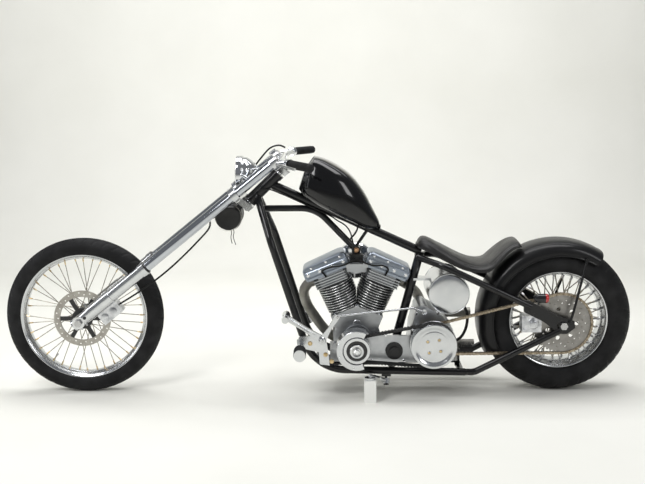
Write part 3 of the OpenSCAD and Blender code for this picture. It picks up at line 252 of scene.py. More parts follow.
def carrierMask(m, center, radius, dark):
    # distance from the wheel's axis, found by laying the lean back, chooses steel outside and black inside
    tree = m.node_tree
    place = tree.nodes.new("ShaderNodeTexCoord")
    mapping = tree.nodes.new("ShaderNodeMapping")
    mapping.vector_type = "POINT"
    back = Matrix.Rotation(-stance["lean"], 4, "X")
    mapping.inputs["Rotation"].default_value = (-stance["lean"], 0, 0)
    mapping.inputs["Location"].default_value = -(back @ (toFloor @ Vector(center)))
    flat = tree.nodes.new("ShaderNodeVectorMath")
    flat.operation = "MULTIPLY"
    flat.inputs[1].default_value = (1, 0, 1)
    far = tree.nodes.new("ShaderNodeVectorMath")
    far.operation = "LENGTH"
    step = tree.nodes.new("ShaderNodeMapRange")
    step.inputs["From Min"].default_value = radius - 0.0005
    step.inputs["From Max"].default_value = radius + 0.0005
    link(m, place, "Object", mapping, "Vector")
    tree.links.new(mapping.outputs[0], flat.inputs[0])
    tree.links.new(flat.outputs[0], far.inputs[0])
    tree.links.new(far.outputs["Value"], step.inputs["Value"])
    shader = tree.nodes["Principled BSDF"]
    mix = tree.nodes.new("ShaderNodeMix")
    mix.data_type = "RGBA"
    mix.inputs["A"].default_value = (*dark, 1)
    tree.links.new(shader.inputs["Base Color"].links[0].from_socket, mix.inputs["B"])
    tree.links.new(step.outputs["Result"], mix.inputs["Factor"])
    tree.links.new(mix.outputs["Result"], shader.inputs["Base Color"])
    tree.links.new(step.outputs["Result"], shader.inputs["Metallic"])


makeMetal("front_disc_steel", (0.34, 0.32, 0.29), (0.44, 0.42, 0.385), 0.30, 0.42, 30.0)
carrierMask(finishes["front_disc_steel"], frontAxle, 0.0972, (0.012, 0.012, 0.013))

# every CAD node that stays takes its slot's finish
ownFinish = {"cylinder_heads": "cast_alloy", "front_caliper": "caliper_alloy", "rear_caliper": "caliper_alloy",
             "fork_tubes": "leg_chrome", "front_disc": "front_disc_steel"}
slotOf = {s["node"]: s["material_slot"] for s in frame["record"]["subparts"]}
for nodeName, obj in frame["nodes"].items():
    for k in range(len(obj.material_slots)):
        obj.material_slots[k].material = finishes[ownFinish.get(nodeName, slotOf[nodeName])]

# ---------- floor, backdrop and light ----------

studio = {"floor": (0.83, 0.825, 0.775), "floorY": 3.2, "sweep": 1.5, "depth": 9.0, "wide": 14.0}


def quadsOf(rows, cols, closeU=False, closeV=False):
    # quads that join each point of a grid to its neighbours, round again where a direction is closed
    a = np.arange(rows * cols).reshape(rows, cols)
    if closeU:
        a = np.vstack([a, a[:1]])
    if closeV:
        a = np.hstack([a, a[:, :1]])
    return np.stack([a[:-1, :-1], a[1:, :-1], a[1:, 1:], a[:-1, 1:]], -1).reshape(-1, 4)


def fillMesh(mesh, points, quads):
    mesh.vertices.add(len(points))
    mesh.vertices.foreach_set("co", np.asarray(points, np.float32).ravel())
    mesh.loops.add(quads.size)
    mesh.loops.foreach_set("vertex_index", quads.ravel().astype(np.int32))
    mesh.polygons.add(len(quads))
    mesh.polygons.foreach_set("loop_start", np.arange(0, quads.size, 4, dtype=np.int32))
    mesh.update(calc_edges=True)


def placed(name, mesh):
    obj = bpy.data.objects.new(name, mesh)
    bpy.context.collection.objects.link(obj)
    return obj


def buildStudio():
    # profile of floor, quarter-round sweep and wall, carried across X
    t = np.linspace(0, math.pi / 2, 24)
    y0, r = studio["floorY"], studio["sweep"]
    profile = np.concatenate([[[-12, 0], [-4, 0], [0, 0]],
                              np.stack([y0 + r * np.sin(t), r - r * np.cos(t)], 1), [[y0 + r, 4], [y0 + r, 7]]])
    x = np.linspace(-studio["wide"], studio["wide"], 9)
    grid = np.zeros((len(profile), len(x), 3))
    grid[..., 0] = x[None, :]
    grid[..., 1] = profile[:, None, 0]
    grid[..., 2] = profile[:, None, 1]
    mesh = bpy.data.meshes.new("studio_sweep")
    fillMesh(mesh, grid[:, ::-1].reshape(-1, 3), quadsOf(*grid.shape[:2]))
    mesh.polygons.foreach_set("use_smooth", np.ones(len(mesh.polygons), bool))
    floor = placed("studio_sweep", mesh)
    m = material("studio_paper", studio["floor"], 0.0, 0.9, Specular_IOR_Level=0.1)
    varyColor(m, objectNoise(m, 1.1, 6.0), (0.80, 0.795, 0.742), (0.85, 0.845, 0.795), 0.3, 0.7)
    # the paper shows only its front, so the machine is seen from behind it too
    clear = m.node_tree.nodes.new("ShaderNodeBsdfTransparent")
    choose = m.node_tree.nodes.new("ShaderNodeMixShader")
    face = m.node_tree.nodes.new("ShaderNodeNewGeometry")
    link(m, face, "Backfacing", choose, "Fac")
    m.node_tree.links.new(m.node_tree.nodes["Principled BSDF"].outputs[0], choose.inputs[1])
    m.node_tree.links.new(clear.outputs[0], choose.inputs[2])
    m.node_tree.links.new(choose.outputs[0], m.node_tree.nodes["Material Output"].inputs["Surface"])
    floor.data.materials.append(m)


buildStudio()
lamps = [
    {"name": "key_soft", "place": (-2.2, -2.9, 3.6), "aim": (0.1, 0, 0.4), "size": (1.3, 2.6), "power": 105},
    {"name": "fill_soft", "place": (3.4, -3.2, 2.4), "aim": (0.3, 0, 0.4), "size": (0.9, 2.4), "power": 42},
    {"name": "top_soft", "place": (0.2, 0.3, 3.9), "aim": (0.1, 0, 0.4), "size": (4.6, 1.3), "power": 95},
    {"name": "backdrop_wash", "place": (0.0, 1.6, 3.9), "aim": (0, 4.7, 1.0), "size": (6.0, 0.8), "power": 100},
    {"name": "nose_strip", "place": (-3.9, -0.6, 1.5), "aim": (0, 0, 0.5), "size": (0.7, 2.2), "power": 24},
]
for lamp in lamps:
    data = bpy.data.lights.new(lamp["name"], "AREA")
    data.shape = "RECTANGLE"
    data.size, data.size_y = lamp["size"]
    data.energy = lamp["power"]
    obj = placed(lamp["name"], data)
    obj.location = lamp["place"]
    obj.rotation_euler = (Vector(lamp["aim"]) - Vector(lamp["place"])).to_track_quat("-Z", "Y").to_euler()
world = bpy.data.worlds.new("studio_world")
bpy.context.scene.world = world
world.use_nodes = True
sky = world.node_tree.nodes["Background"]
sky.inputs["Color"].default_value = (0.92, 0.95, 1.0, 1)
sky.inputs["Strength"].default_value = 0.22
bpy.context.scene.view_settings.view_transform = "Standard"
print("studio ready")

# ---------- shape helpers, in millimetres with the machine upright ----------


def surface(grid, closeU=False, closeV=False):
    # a grid of points (rows, columns, 3) as points and quads
    return grid.reshape(-1, 3), quadsOf(grid.shape[0], grid.shape[1], closeU, closeV)


def frameOf(axis):
    # two unit vectors square to the axis and to each other
    axis = unit(axis)
    side = unit(np.cross(axis, [0, 0, 1] if abs(axis[2]) < 0.9 else [1, 0, 0]))
    return side, np.cross(axis, side)


def smooth(points, count, closed=False):
    # Catmull-Rom curve through the points, evenly sampled in its parameter
    p = np.asarray(points, float)
    n = len(p)
    p = np.vstack([p[-1:], p, p[:2]]) if closed else np.vstack([2 * p[:1] - p[1:2], p, 2 * p[-1:] - p[-2:-1]])
    t = np.linspace(0, n if closed else n - 1, count, endpoint=not closed)
    k = np.minimum(t.astype(int), (n if closed else n - 1) - 1)
    u = (t - k)[:, None]
    a, b, c, d = p[k], p[k + 1], p[k + 2], p[k + 3]
    return 0.5 * (2 * b + (c - a) * u + (2 * a - 5 * b + 4 * c - d) * u ** 2 + (3 * b - a - 3 * c + d) * u ** 3)


def spun(profile, center, axis=(0, 1, 0), steps=64, closed=False):
    # profile of (radius, distance along the axis) turned right round the axis
    profile = np.asarray(profile, float)
    side, up = frameOf(axis)
    a = np.linspace(0, 2 * math.pi, steps, endpoint=False)
    ring = np.cos(a)[:, None] * side + np.sin(a)[:, None] * up
    grid = (np.asarray(center) + profile[None, :, 1, None] * unit(axis)
            + profile[None, :, 0, None] * ring[:, None, :])
    return surface(grid, True, closed)


def tube(path, radius, sides=14, ends=True):
    # circle of the radius carried along the path, its frame passed on from point to point
    path = np.asarray(path, float)
    ahead = np.gradient(path, axis=0)
    ahead /= np.linalg.norm(ahead, axis=1, keepdims=True)
    out = np.empty_like(path)
    out[0] = frameOf(ahead[0])[0]
    for i in range(1, len(path)):
        v = out[i - 1] - ahead[i] * np.dot(out[i - 1], ahead[i])
        out[i] = v / np.linalg.norm(v)
    over = np.cross(ahead, out)
    a = np.linspace(0, 2 * math.pi, sides, endpoint=False)
    r = np.broadcast_to(np.asarray(radius, float), len(path))[:, None, None]
    grid = path[:, None] + r * (np.cos(a)[None, :, None] * out[:, None]
                                + np.sin(a)[None, :, None] * over[:, None])
    if ends:
        grid = np.concatenate([np.repeat(path[:1, None], sides, 1), grid, np.repeat(path[-1:, None], sides, 1)])
    return surface(grid, False, True)


def slab(corners, lift, bevel=0.0):
    # plate: an outline (n, 3) lifted by a vector, its edge drawn in by the bevel at both faces
    corners = np.asarray(corners, float)
    lift = np.asarray(lift, float)
    middle = corners.mean(0)
    inward = middle - corners
    inward /= np.linalg.norm(inward, axis=1, keepdims=True)
    b = unit(lift) * bevel
    rings = [np.repeat(middle[None], len(corners), 0), corners + inward * bevel, corners + b,
             corners + lift - b, corners + lift + inward * bevel,
             np.repeat((middle + lift)[None], len(corners), 0)]
    return surface(np.stack(rings), False, True)


def discOutline(center, radius, count=6, axis=(0, 1, 0), turn=0.0):
    side, up = frameOf(axis)
    a = np.linspace(0, 2 * math.pi, count, endpoint=False) + math.radians(turn)
    return np.asarray(center) + radius * (np.cos(a)[:, None] * side + np.sin(a)[:, None] * up)


def bolt(center, axis, across=13, height=7, sides=6):
    # hexagon or round head standing on a washer, both along the axis from the centre
    axis = unit(axis)
    head = slab(discOutline(center + axis * 1.5, across / 2, sides, axis), axis * (height - 1.5), across * 0.07)
    washer = spun([(0, -1), (across * 0.62, -1), (across * 0.62, 1.2), (across * 0.56, 1.7), (0, 1.7)],
                  center, axis, 20)
    return [head, washer]


def repeated(shape, moves):
    # the same points under many 4x4 moves, as one shape
    points, faces = shape
    moves = np.asarray(moves, float)
    p = np.einsum("kij,nj->kni", moves[:, :3, :3], points) + moves[:, None, :3, 3]
    f = faces[None] + (np.arange(len(moves)) * len(points))[:, None, None]
    return p.reshape(-1, 3), f.reshape(-1, faces.shape[1])


def turnsAbout(center, count, axis=(0, 1, 0), start=0.0):
    # moves that turn a shape about an axis through the centre, count times round
    moves = []
    for k in range(count):
        spin = Matrix.Rotation(math.radians(start) + 2 * math.pi * k / count, 4, Vector(axis))
        moves.append(np.array(Matrix.Translation(center) @ spin @ Matrix.Translation(-Vector(center))))
    return moves


def piece(name, shapes, body, finish, nodes=(), sharp=32):
    # joins shapes into one object on the floor frame, welds its poles and seams, hangs it on its body and hides
    # the CAD nodes it replaces
    if isinstance(shapes, tuple):
        shapes = [shapes]
    mesh = bpy.data.meshes.new(name)
    points = np.concatenate([s[0] for s in shapes])
    start = np.cumsum([0] + [len(s[0]) for s in shapes])[:-1]
    faces = np.concatenate([s[1] + k for s, k in zip(shapes, start)])
    points = leaned(points / 1000)
    fillMesh(mesh, points, faces)
    work = bmesh.new()
    work.from_mesh(mesh)
    bmesh.ops.remove_doubles(work, verts=work.verts, dist=2e-6)
    bmesh.ops.dissolve_degenerate(work, edges=work.edges, dist=1e-6)
    bmesh.ops.recalc_face_normals(work, faces=work.faces)
    for face in work.faces:
        face.smooth = True
    work.to_mesh(mesh)
    work.free()
    mesh.set_sharp_from_angle(angle=math.radians(sharp))
    obj = placed(name, mesh)
    mesh.materials.append(finishes[finish])
    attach(obj, body)
    if nodes:
        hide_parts(*nodes)
    return obj


frontHub = frontAxle * 1000
rearHub = rearAxle * 1000
crank = fromCrank(0, 0, 252) * 1000


def f(x, y, z):
    return fromCrank(x, y, z) * 1000


# ---------- wheels ----------


def tyreGrid(t, around=720, over=56):
    # round crown arc, then a shoulder arc to the bead; grooves sink the tread by a pattern of (angle, arc)
    reach = t["wide"] / 2 - t["shoulder"]
    at = t["radius"] - t["crown"] + math.sqrt((t["crown"] - t["shoulder"]) ** 2 - reach ** 2)
    meet = math.asin(reach / (t["crown"] - t["shoulder"]))
    last = math.acos((t["bead"] - at) / t["shoulder"])
    g = np.linspace(-last, last, over)
    wide = np.abs(g)
    onCrown = wide < meet
    r = np.where(onCrown, t["radius"] - t["crown"] + t["crown"] * np.cos(wide),
                 at + t["shoulder"] * np.cos(wide))
    y = np.where(onCrown, t["crown"] * np.sin(wide), reach + t["shoulder"] * np.sin(wide)) * np.sign(g)
    a = np.linspace(0, 2 * math.pi, around, endpoint=False)[:, None]
    s = (wide / math.radians(t["treadEdge"]))[None, :]
    phase = (a * t["blocks"] / (2 * math.pi) + 0.55 * s * np.sign(g)[None, :] + (g > 0)[None, :] * 0.5) % 1.0

    def groove(value, half):
        return np.clip(1.35 - np.abs(value) / half, 0, 1)

    cut = groove(s - 0.18, 0.045) + groove(phase - 0.5, t["sipe"]) * ((s > 0.30) & (s < 0.98))
    cut = cut + groove(s - 1.02, 0.02) * 0.4
    r = r[None, :] - t["depth"] * np.clip(cut, 0, 1) * (s < 1.1)
    ribs = 0.5 * (np.cos((s - 1.25) * 55) > 0.8) * ((s > 1.22) & (s < 1.4))
    yy = y[None, :] + np.sign(g)[None, :] * ribs * 1.2 + 0 * a
    bead = t["beadHalf"]
    r = np.concatenate([r, np.full((around, 1), t["bead"] - 6.0), np.full((around, 1), t["bead"] - 6.0)], 1)
    yy = np.concatenate([yy, np.full((around, 1), bead), np.full((around, 1), -bead)], 1)
    c = t["center"]
    return np.stack([c[0] + r * np.cos(a), c[1] + yy, c[2] + r * np.sin(a)], -1)


def makeWheel(name, body, t, rim, tyreNode, rimNode):
    piece(name + "_tyre_tread", surface(tyreGrid(t), True, True), body, "tyre_rubber", [tyreNode], sharp=40)
    c = t["center"]
    half, top, well = rim["half"], rim["radius"], rim["well"]
    outer = [(well, 0), (well + 1.5, half * 0.30), (well + 9, half * 0.45), (top - 13, half * 0.62),
             (top - 9, half * 0.86), (top - 7, half - 5.5)]
    lip = [(top - 1, half - 4), (top, half - 1.4), (top - 2, half), (top - 5.5, half - 1)]
    inner = [(top - 9, half - 3.8), (top - 13, half * 0.80), (top - 17.5, half * 0.56),
             (well - 3.5, half * 0.40), (well - 5, half * 0.2), (well - 5, 0)]
    right = np.array(outer + lip + inner)
    left = right[::-1] * [1, -1]
    profile = smooth(np.concatenate([right, left[1:-1]]), 110, True)
    piece(name + "_rim_polished", spun(profile, c, (0, 1, 0), 160, True), body, "polished_alloy", [rimNode],
          sharp=50)
    # valve: foot, stem and cap, all in one steel piece here, pointing to the hub
    down = unit([math.cos(rim["valveAt"]), 0, math.sin(rim["valveAt"])])
    foot = c + down * (well - 5)
    valve = [spun([(0, -3), (6, -3), (5.5, 3), (3.6, 7), (3.6, 9), (2.6, 9), (2.6, 26), (4, 26), (4, 34),
                   (3, 36), (0, 36)], foot, -down, 14)]
    piece(name + "_valve", valve, body, "axle_steel")
    # nipples: short hexagon sockets where the spokes enter the rim
    count, r0 = rim["spokes"] // 2, well - 5
    spots = []
    for s in (-1, 1):
        for k in range(count):
            a = 2 * math.pi * (k + (0.5 if s > 0 else 0)) / count
            lead = math.radians(54 if k % 2 == 0 else -54)
            out = rim["d"] + 1 if k % 2 == 0 else -rim["d"]
            hubEnd = c + [rim["hubR"] * math.cos(a + lead), s * (rim["hubY"] + out),
                          rim["hubR"] * math.sin(a + lead)]
            rimEnd = c + [(r0 - 1) * math.cos(a), s * (rim["rimY"] + out / 2), (r0 - 1) * math.sin(a)]
            spots.append((rimEnd, unit(hubEnd - rimEnd)))
    w = rim["d"] * 0.95
    nipples = [spun([(0, -4), (w, -4), (w, 10), (w * 0.75, 13), (rim["d"] * 0.5, 15)], p, d, 6) for p,
               d in spots]
    piece(name + "_nipples", nipples, body, "brass" if rim["d"] < 4 else "axle_steel")


frontTyre = {"center": frontHub, "radius": 347.5, "wide": 90, "shoulder": 42, "crown": 55, "bead": 281.5,
             "beadHalf": 29, "treadEdge": 62, "blocks": 44, "sipe": 0.13, "depth": 3.2}
rearTyre = {"center": rearHub, "radius": 328, "wide": 170, "shoulder": 62, "crown": 100, "bead": 218.5,
            "beadHalf": 58, "treadEdge": 66, "blocks": 36, "sipe": 0.11, "depth": 4.2}
makeWheel("front", "front_wheel", frontTyre,
          {"half": 34, "radius": 280.5, "well": 262, "valveAt": -2.2, "spokes": 40, "hubR": 33, "hubY": 31,
           "rimY": 10, "d": 3.4}, "front_tyre", "front_rim")
makeWheel("rear", "rear_wheel", rearTyre,
          {"half": 64, "radius": 217, "well": 198, "valveAt": -1.9, "spokes": 60, "hubR": 41, "hubY": 52,
           "rimY": 30, "d": 5}, "rear_tyre", "rear_rim")
print("wheels made")

# ---------- fuel tank ----------

tankShape = {
    "ribs": [[-248, 908, -214, 1014, 62], [-232, 888, -190, 1042, 92], [-214, 874, -176, 1050, 106],
             [-170, 846, -129, 1036, 120], [-113, 815, -64, 1000, 122], [-60, 788, -12, 957, 112],
             [-10, 763, 35, 893, 94], [38, 738, 70, 825, 68], [84, 733, 96, 772, 40], [101, 733, 102, 752, 26]],
    "tunnel": 21.5, "along": 96, "round": 72}


def tankGrid():
    # ribs from nose to tail joined by a smooth curve; each rib bulges as a rounded triangle over a flat belly,
    # and the belly is drawn up round the backbone as a tunnel
    ribs = smooth(tankShape["ribs"], tankShape["along"])
    a = np.radians(np.linspace(-90, 90, tankShape["round"] // 2 + 1))
    c, s = np.clip(np.cos(a), 0, 1), np.sin(a)
    wide = np.where(a < 0, 0.35 + 0.65 * c ** 0.6, c ** 0.62)
    up = np.where(a < 0, 0.3 - 0.3 * np.clip(-s, 0, 1) ** 1.2, 0.3 + 0.7 * np.clip(s, 0, 1) ** 0.92)
    x = ribs[:, None, 0] + (ribs[:, None, 2] - ribs[:, None, 0]) * up
    z = ribs[:, None, 1] + (ribs[:, None, 3] - ribs[:, None, 1]) * up
    y = ribs[:, None, 4] * wide
    half = np.stack([x, -y, z], -1)
    other = half[:, ::-1] * [1, -1, 1]
    ring = np.concatenate([half, other[:, 1:]], 1)
    # tunnel: belly between the two lower edges rises over the backbone
    edge = ring[:, -1], ring[:, 0]
    u = np.linspace(0, 1, 14)[1:-1]
    belly = edge[0][:, None] * (1 - u)[None, :, None] + edge[1][:, None] * u[None, :, None]
    over = belly[..., 0] * -0.4625 + 757.4 + tankShape["tunnel"] / 0.908
    lift = np.sqrt(np.clip(1 - (belly[..., 1] / tankShape["tunnel"]) ** 2, 0, 1))
    belly[..., 2] = np.where(np.abs(belly[..., 1]) < tankShape["tunnel"],
                             np.maximum(belly[..., 2], over - tankShape["tunnel"] * (1 - lift)), belly[..., 2])
    ring = np.concatenate([ring, belly], 1)
    ring[..., 0] += crank[0]

    def closed(end, other, reach):
        # three shrinking rings close an end, so the rim is rounded
        middle = end.mean(0)
        away = unit(middle - other.mean(0)) * reach
        return [middle + (end - middle) * k + away * h
                for k, h in ((0.97, 0.45), (0.90, 0.8), (0.7, 1.0), (0.0, 1.0))]

    front = closed(ring[0], ring[1], 5)
    back = closed(ring[-1], ring[-2], 5)
    return np.concatenate([np.stack(front[::-1]), ring, np.stack(back)])


piece("tank_shell", surface(tankGrid(), False, True), "frame", "tank_black", ["fuel_tank"], sharp=60)
# filler: bung ring and domed cap with a knurled edge, on the right of the ridge
capAt, capAxis = f(-120, 52, 1000), unit([0.28, 0.52, 0.81])
knurl = np.array([(0, 30), (30, 26), (41, 20), (44, 12), (44, 3), (38, 1), (38, -14), (0, -14)]) * [0.6, 0.6]
piece("filler_cap", [spun(knurl, capAt, capAxis, 72), spun([(0, -12), (30, -12), (30, 0), (28, 1.5), (0, 1.5)],
      capAt, capAxis, 48)], "frame", "chrome")
print("tank made")

# ---------- rear fender ----------

fenderShape = {"radius": 354, "half": 99, "wall": 4, "from": 58, "sweep": 147, "top": 294}


def fenderSection(r, half, low):
    # full round crown: width by a flattened cosine of the angle, height by its flattened sine
    t = np.linspace(0, math.pi, 45)
    y = half * np.sign(np.cos(t)) * np.abs(np.cos(t)) ** 0.72
    out = low + 8 + (r - low - 8) * np.sin(t) ** 0.8
    return np.concatenate([[[low, half]], np.stack([out, y], 1), [[low, -half]]])


def makeFender():
    # the wall's closed section carried round the rear axle, its two ends closed by a rolled bead
    s = fenderShape
    outside = fenderSection(s["radius"], s["half"], s["top"])
    inside = fenderSection(s["radius"] - s["wall"], s["half"] - s["wall"], s["top"] - 2)[::-1]
    section = np.concatenate([outside, inside])
    a = np.radians(np.linspace(s["from"], s["from"] + s["sweep"], 150))[::-1]
    grid = np.stack([rearHub[0] + section[None, :, 0] * np.cos(a)[:, None],
                     0 * a[:, None] + section[None, :, 1],
                     rearHub[2] + section[None, :, 0] * np.sin(a)[:, None]], -1)
    m = len(outside)
    ends = []
    for row in (0, -1):
        wall = np.stack([grid[row, :m], grid[row, :m - 1:-1]])
        ends.append(surface(wall))
    shell = surface(grid, False, True)
    beads = [tube((grid[row, 1:m - 1] + grid[row, -2:m:-1]) / 2, 3.6, 8) for row in (0, -1)]
    edges = [tube(grid[::3, k], 3.4, 8) for k in (0, m - 1)]
    return [shell] + ends + beads + edges


piece("fender_shell", makeFender(), "frame", "fender_black", ["rear_fender"], sharp=40)
print("fender made")

# ---------- seat ----------

seatShape = {
    # along the seat: x from the crank, top at the middle, underside, half width
    "rows": [[266, 668, 652, 34], [276, 684, 646, 52], [290, 692, 640, 66], [312, 688, 632, 80],
             [350, 668, 612, 96],
             [402, 640, 588, 111], [440, 619, 572, 119], [471, 604, 562, 123], [505, 592, 556, 124],
             [540, 588, 554, 124], [572, 596, 560, 121], [606, 626, 592, 115], [640, 656, 624, 106],
             [668, 673, 646, 98], [690, 680, 656, 92], [704, 678, 660, 86], [712, 668, 660, 80]]}


def seatGrid(rows=110, cols=72):
    # each row is a flattened rounded outline; the middle dishes, the rim rolls over, and a channel of
    # stitching runs a thumb's width inside the edge
    r = smooth(seatShape["rows"], rows)
    v = np.linspace(0, 2 * math.pi, cols, endpoint=False)
    c, s = np.cos(v), np.sin(v)
    y = r[:, None, 3] * np.sign(c) * np.abs(c) ** 0.55
    thick = (r[:, 1] - r[:, 2])[:, None]
    top = s > 0
    share = np.abs(s) ** 0.62
    across = np.abs(y) / r[:, None, 3]
    crownFall = -0.30 * thick * across ** 3 * top
    channel = -2.6 * np.exp(-((across - 0.80) / 0.035) ** 2) * top
    middle = (r[:, 2] + (r[:, 1] - r[:, 2]) * 0.45)[:, None]
    z = middle + np.where(top, 0.55 * thick * share, -0.45 * thick * share ** 0.7) + crownFall + channel
    x = crank[0] + r[:, None, 0] + 0 * y
    grid = np.stack([x, y, z], -1)
    first, last = grid[0].mean(0), grid[-1].mean(0)
    nose = [first + (grid[0] - first) * k - [h, 0, 0] for k, h in ((0, 5), (0.6, 4.4), (0.9, 2))]
    tail = [last + (grid[-1] - last) * k + [h, 0, 0] for k, h in ((0.9, 1), (0.6, 2), (0, 2.4))]
    return np.concatenate([np.stack(nose), grid, np.stack(tail)])


seatPoints = seatGrid()
# the rear half lies on the fender, so nothing sinks into it
away = seatPoints - rearHub
reach = np.hypot(away[..., 0], away[..., 2])
push = np.clip(fenderShape["radius"] + 2.0 - reach, 0, 60)
seatPoints[..., 0] += away[..., 0] / reach * push
seatPoints[..., 2] += away[..., 2] / reach * push
seat = piece("seat_cover", surface(seatPoints, False, True), "frame", "seat_leather", ["seat"], sharp=80)


def stitchesAlong(path, spacing, length, radius):
    # short thread capsules laid end to end along a path, one for each stitch
    path = np.asarray(path, float)
    run = np.concatenate([[0], np.cumsum(np.linalg.norm(np.diff(path, axis=0), axis=1))])
    at = np.arange(spacing, run[-1] - spacing, spacing)
    shapes = []
    for d in at:
        ends = [np.array([np.interp(q, run, path[:, k]) for k in range(3)]) for q in (d, d + length)]
        shapes.append(tube(np.array([ends[0], (ends[0] + ends[1]) / 2 + [0, 0, radius * 0.4], ends[1]]),
                           radius, 5))
    return shapes


welts = []
for s in (-1, 1):
    col = np.argmin(np.abs(np.cos(np.linspace(0, 2 * math.pi, 72, endpoint=False)) - s))
    welts.append(tube(seatPoints[4:-4, col] + [0, -s * 0.5, -1], 2.6, 8))
piece("seat_welt", welts, "frame", "seat_leather", sharp=80)
print("seat made")

# ---------- tool roll ----------

rollShape = {"center": f(-556, 0, 795), "radius": 59.5, "half": 80}


def rollGrid(rows=84, cols=96):
    # a leather sheet rolled over its tools: round below, flatter above, ends drawn in to the middle,
    # soft waves along it where the tools press out
    v = np.linspace(-1, 1, rows)
    a = np.linspace(0, 2 * math.pi, cols, endpoint=False)
    full = rollShape["radius"] * (1 - 0.10 * np.abs(v) ** 6)[:, None]
    flat = 1 - 0.16 * np.clip(np.sin(a), 0, 1) ** 4
    waves = (1 - 0.020 * (1 + np.cos(a * 5 + 0.7 * v[:, None] * 3)) / 2
             - 0.012 * (1 + np.cos(v[:, None] * 9 + a * 2)) / 2)
    bands = 1 - 0.045 * (np.exp(-((np.abs(v) - 0.53) / 0.10) ** 2))[:, None]
    r = full * flat * waves * bands
    c = rollShape["center"]
    grid = np.stack([c[0] + r * np.cos(a), c[1] + v[:, None] * rollShape["half"] + 0 * r,
                     c[2] + r * np.sin(a)], -1)
    caps = []
    for row, s in ((0, -1), (-1, 1)):
        m = grid[row].mean(0)
        caps.append([m + (grid[row] - m) * k + [0, s * h, 0]
                     for k, h in ((0.93, 0.5), (0.80, -1.0), (0.5, -3), (0.0, -3.5))])
    return np.concatenate([np.stack(caps[0][::-1]), grid, np.stack(caps[1])])


roll = piece("roll_leather_body", surface(rollGrid(), False, True), "fork", "roll_leather", ["tool_roll"],
             sharp=80)


def strapLoop(y, wide, thick, radius):
    # band with rounded edges round the roll
    a = np.linspace(0, 2 * math.pi, 96, endpoint=False)
    r = radius * (1 - 0.14 * np.clip(np.sin(a), 0, 1) ** 4)
    c = rollShape["center"]
    section = np.array([(-wide / 2, 0), (-wide / 2, thick * 0.7), (-wide / 2 + 1, thick), (wide / 2 - 1, thick),
                        (wide / 2, thick * 0.7), (wide / 2, 0)])
    rr = r[:, None] + section[None, :, 1]
    return surface(np.stack([c[0] + rr * np.cos(a)[:, None], c[1] + y + section[None, :, 0] + 0 * rr,
                             c[2] + rr * np.sin(a)[:, None]], -1), True, True)


straps = [strapLoop(y, 18, 2.4, 57.2) for y in (-43, 43)]
legUp = unit([0.7771, 0, 0.6294])
legOver = unit([0.6294, 0, -0.7771])
for y in (-51, 51):
    foot = frontHub + (876.3 - 14.5 - 36) * legUp + 57 * legOver + [0, y, 0]
    corners = np.array([foot - legOver * 12 - [0, 9, 0], foot + legOver * 12 - [0, 9, 0],
                        foot + legOver * 12 + [0, 9, 0], foot - legOver * 12 + [0, 9, 0]])
    straps.append(slab(corners - legUp * 22, legUp * 57.5, 1.2))
piece("roll_straps", straps, "fork", "roll_leather", sharp=40)
buckles = []
for y in (-43, 43):
    spot = rollShape["center"] + [-59.5 * math.cos(0.2), y, 59.5 * math.sin(0.2)]
    out = unit(spot - rollShape["center"] - [0, y, 0])
    up = np.cross(out, [0, 1, 0])
    ring = [spot + up * u + np.array([0, w, 0]) + out * 2.5
            for u, w in ((-9, -11), (9, -11), (9, 11), (-9, 11), (-9, -11))]
    buckles += [tube(smooth(ring, 40), 1.7, 8), tube([ring[0] + [0, 11, 0], ring[0] + [0, 11, 0] + up * 19],
                                                     1.4, 8)]
piece("roll_buckles", buckles, "fork", "axle_steel")
edgeLine = [rollShape["center"] + [59.5 * math.cos(q), y, 59.5 * math.sin(q)] for y, q in
            [(-74, q) for q in np.linspace(-2.4, 1.0, 22)]]
piece("roll_stitching", stitchesAlong(np.array(edgeLine), 6.5, 4.2, 0.9), "fork", "stitch")
laces = [tube(smooth([rollShape["center"] + [x, -30 + k * 9, -56],
                      rollShape["center"] + [x + 4, -31 + k * 9, -74],
                      rollShape["center"] + [x + 1, -33 + k * 9, -96],
                      rollShape["center"] + [x + 6 + 5 * k, -34 + k * 9, -122 - 8 * k]], 22), 1.6, 8)
         for k, x in ((0, 6), (1, 16))]
piece("roll_laces", laces, "fork", "roll_leather")
print("roll made")

# ---------- engine ----------

vee = math.radians(22)


def onCylinder(side, points):
    # from a cylinder's own axes (Z up its bore) to the machine's
    p = np.asarray(points, float)
    x = p[..., 0] * math.cos(vee) + side * p[..., 2] * math.sin(vee)
    z = -side * p[..., 0] * math.sin(vee) + p[..., 2] * math.cos(vee)
    return crank + np.stack([x, p[..., 1], z], -1)


def cylinderAxis(side, v):
    return onCylinder(side, v) - crank


def finEdgeHighlights():
    # painted highlight: a bright metal ring on the edge of each fin stands for the light a rounded fin edge
    # catches, as an arc that stops where the two barrels meet
    shapes = []
    a = np.linspace(0, 2 * math.pi, 97)
    for s in (-1, 1):
        for k in range(11):
            r = 80 - (10 - k) * 0.4 - 1.2
            ring = onCylinder(s, np.stack([r * np.cos(a), r * np.sin(a), 0 * a + 133 + 7 + 11.4 * k + 1.7], -1))
            keep = s * (ring[:, 0] - crank[0]) > 3
            if keep.all():
                shapes.append(tube(ring, 2.3, 6, False))
                continue
            first = np.argmax(~keep)
            order = np.roll(np.arange(96), -first)
            order = order[keep[order]]
            cuts = np.where(np.diff(order) % 96 != 1)[0]
            for run in np.split(order, cuts + 1):
                if len(run) > 6:
                    shapes.append(tube(ring[run], 2.3, 6))
    return shapes


# painted highlight rings along the fin edges
piece("fin_edge_highlights", finEdgeHighlights(), "frame", "fin_edge_highlight", sharp=70)

rockerShape = {"half": 61.5, "base": 310.6, "corner": 14.0, "levels": [(0.6, 14), (16.2, 42), (44.2, 73.5)]}


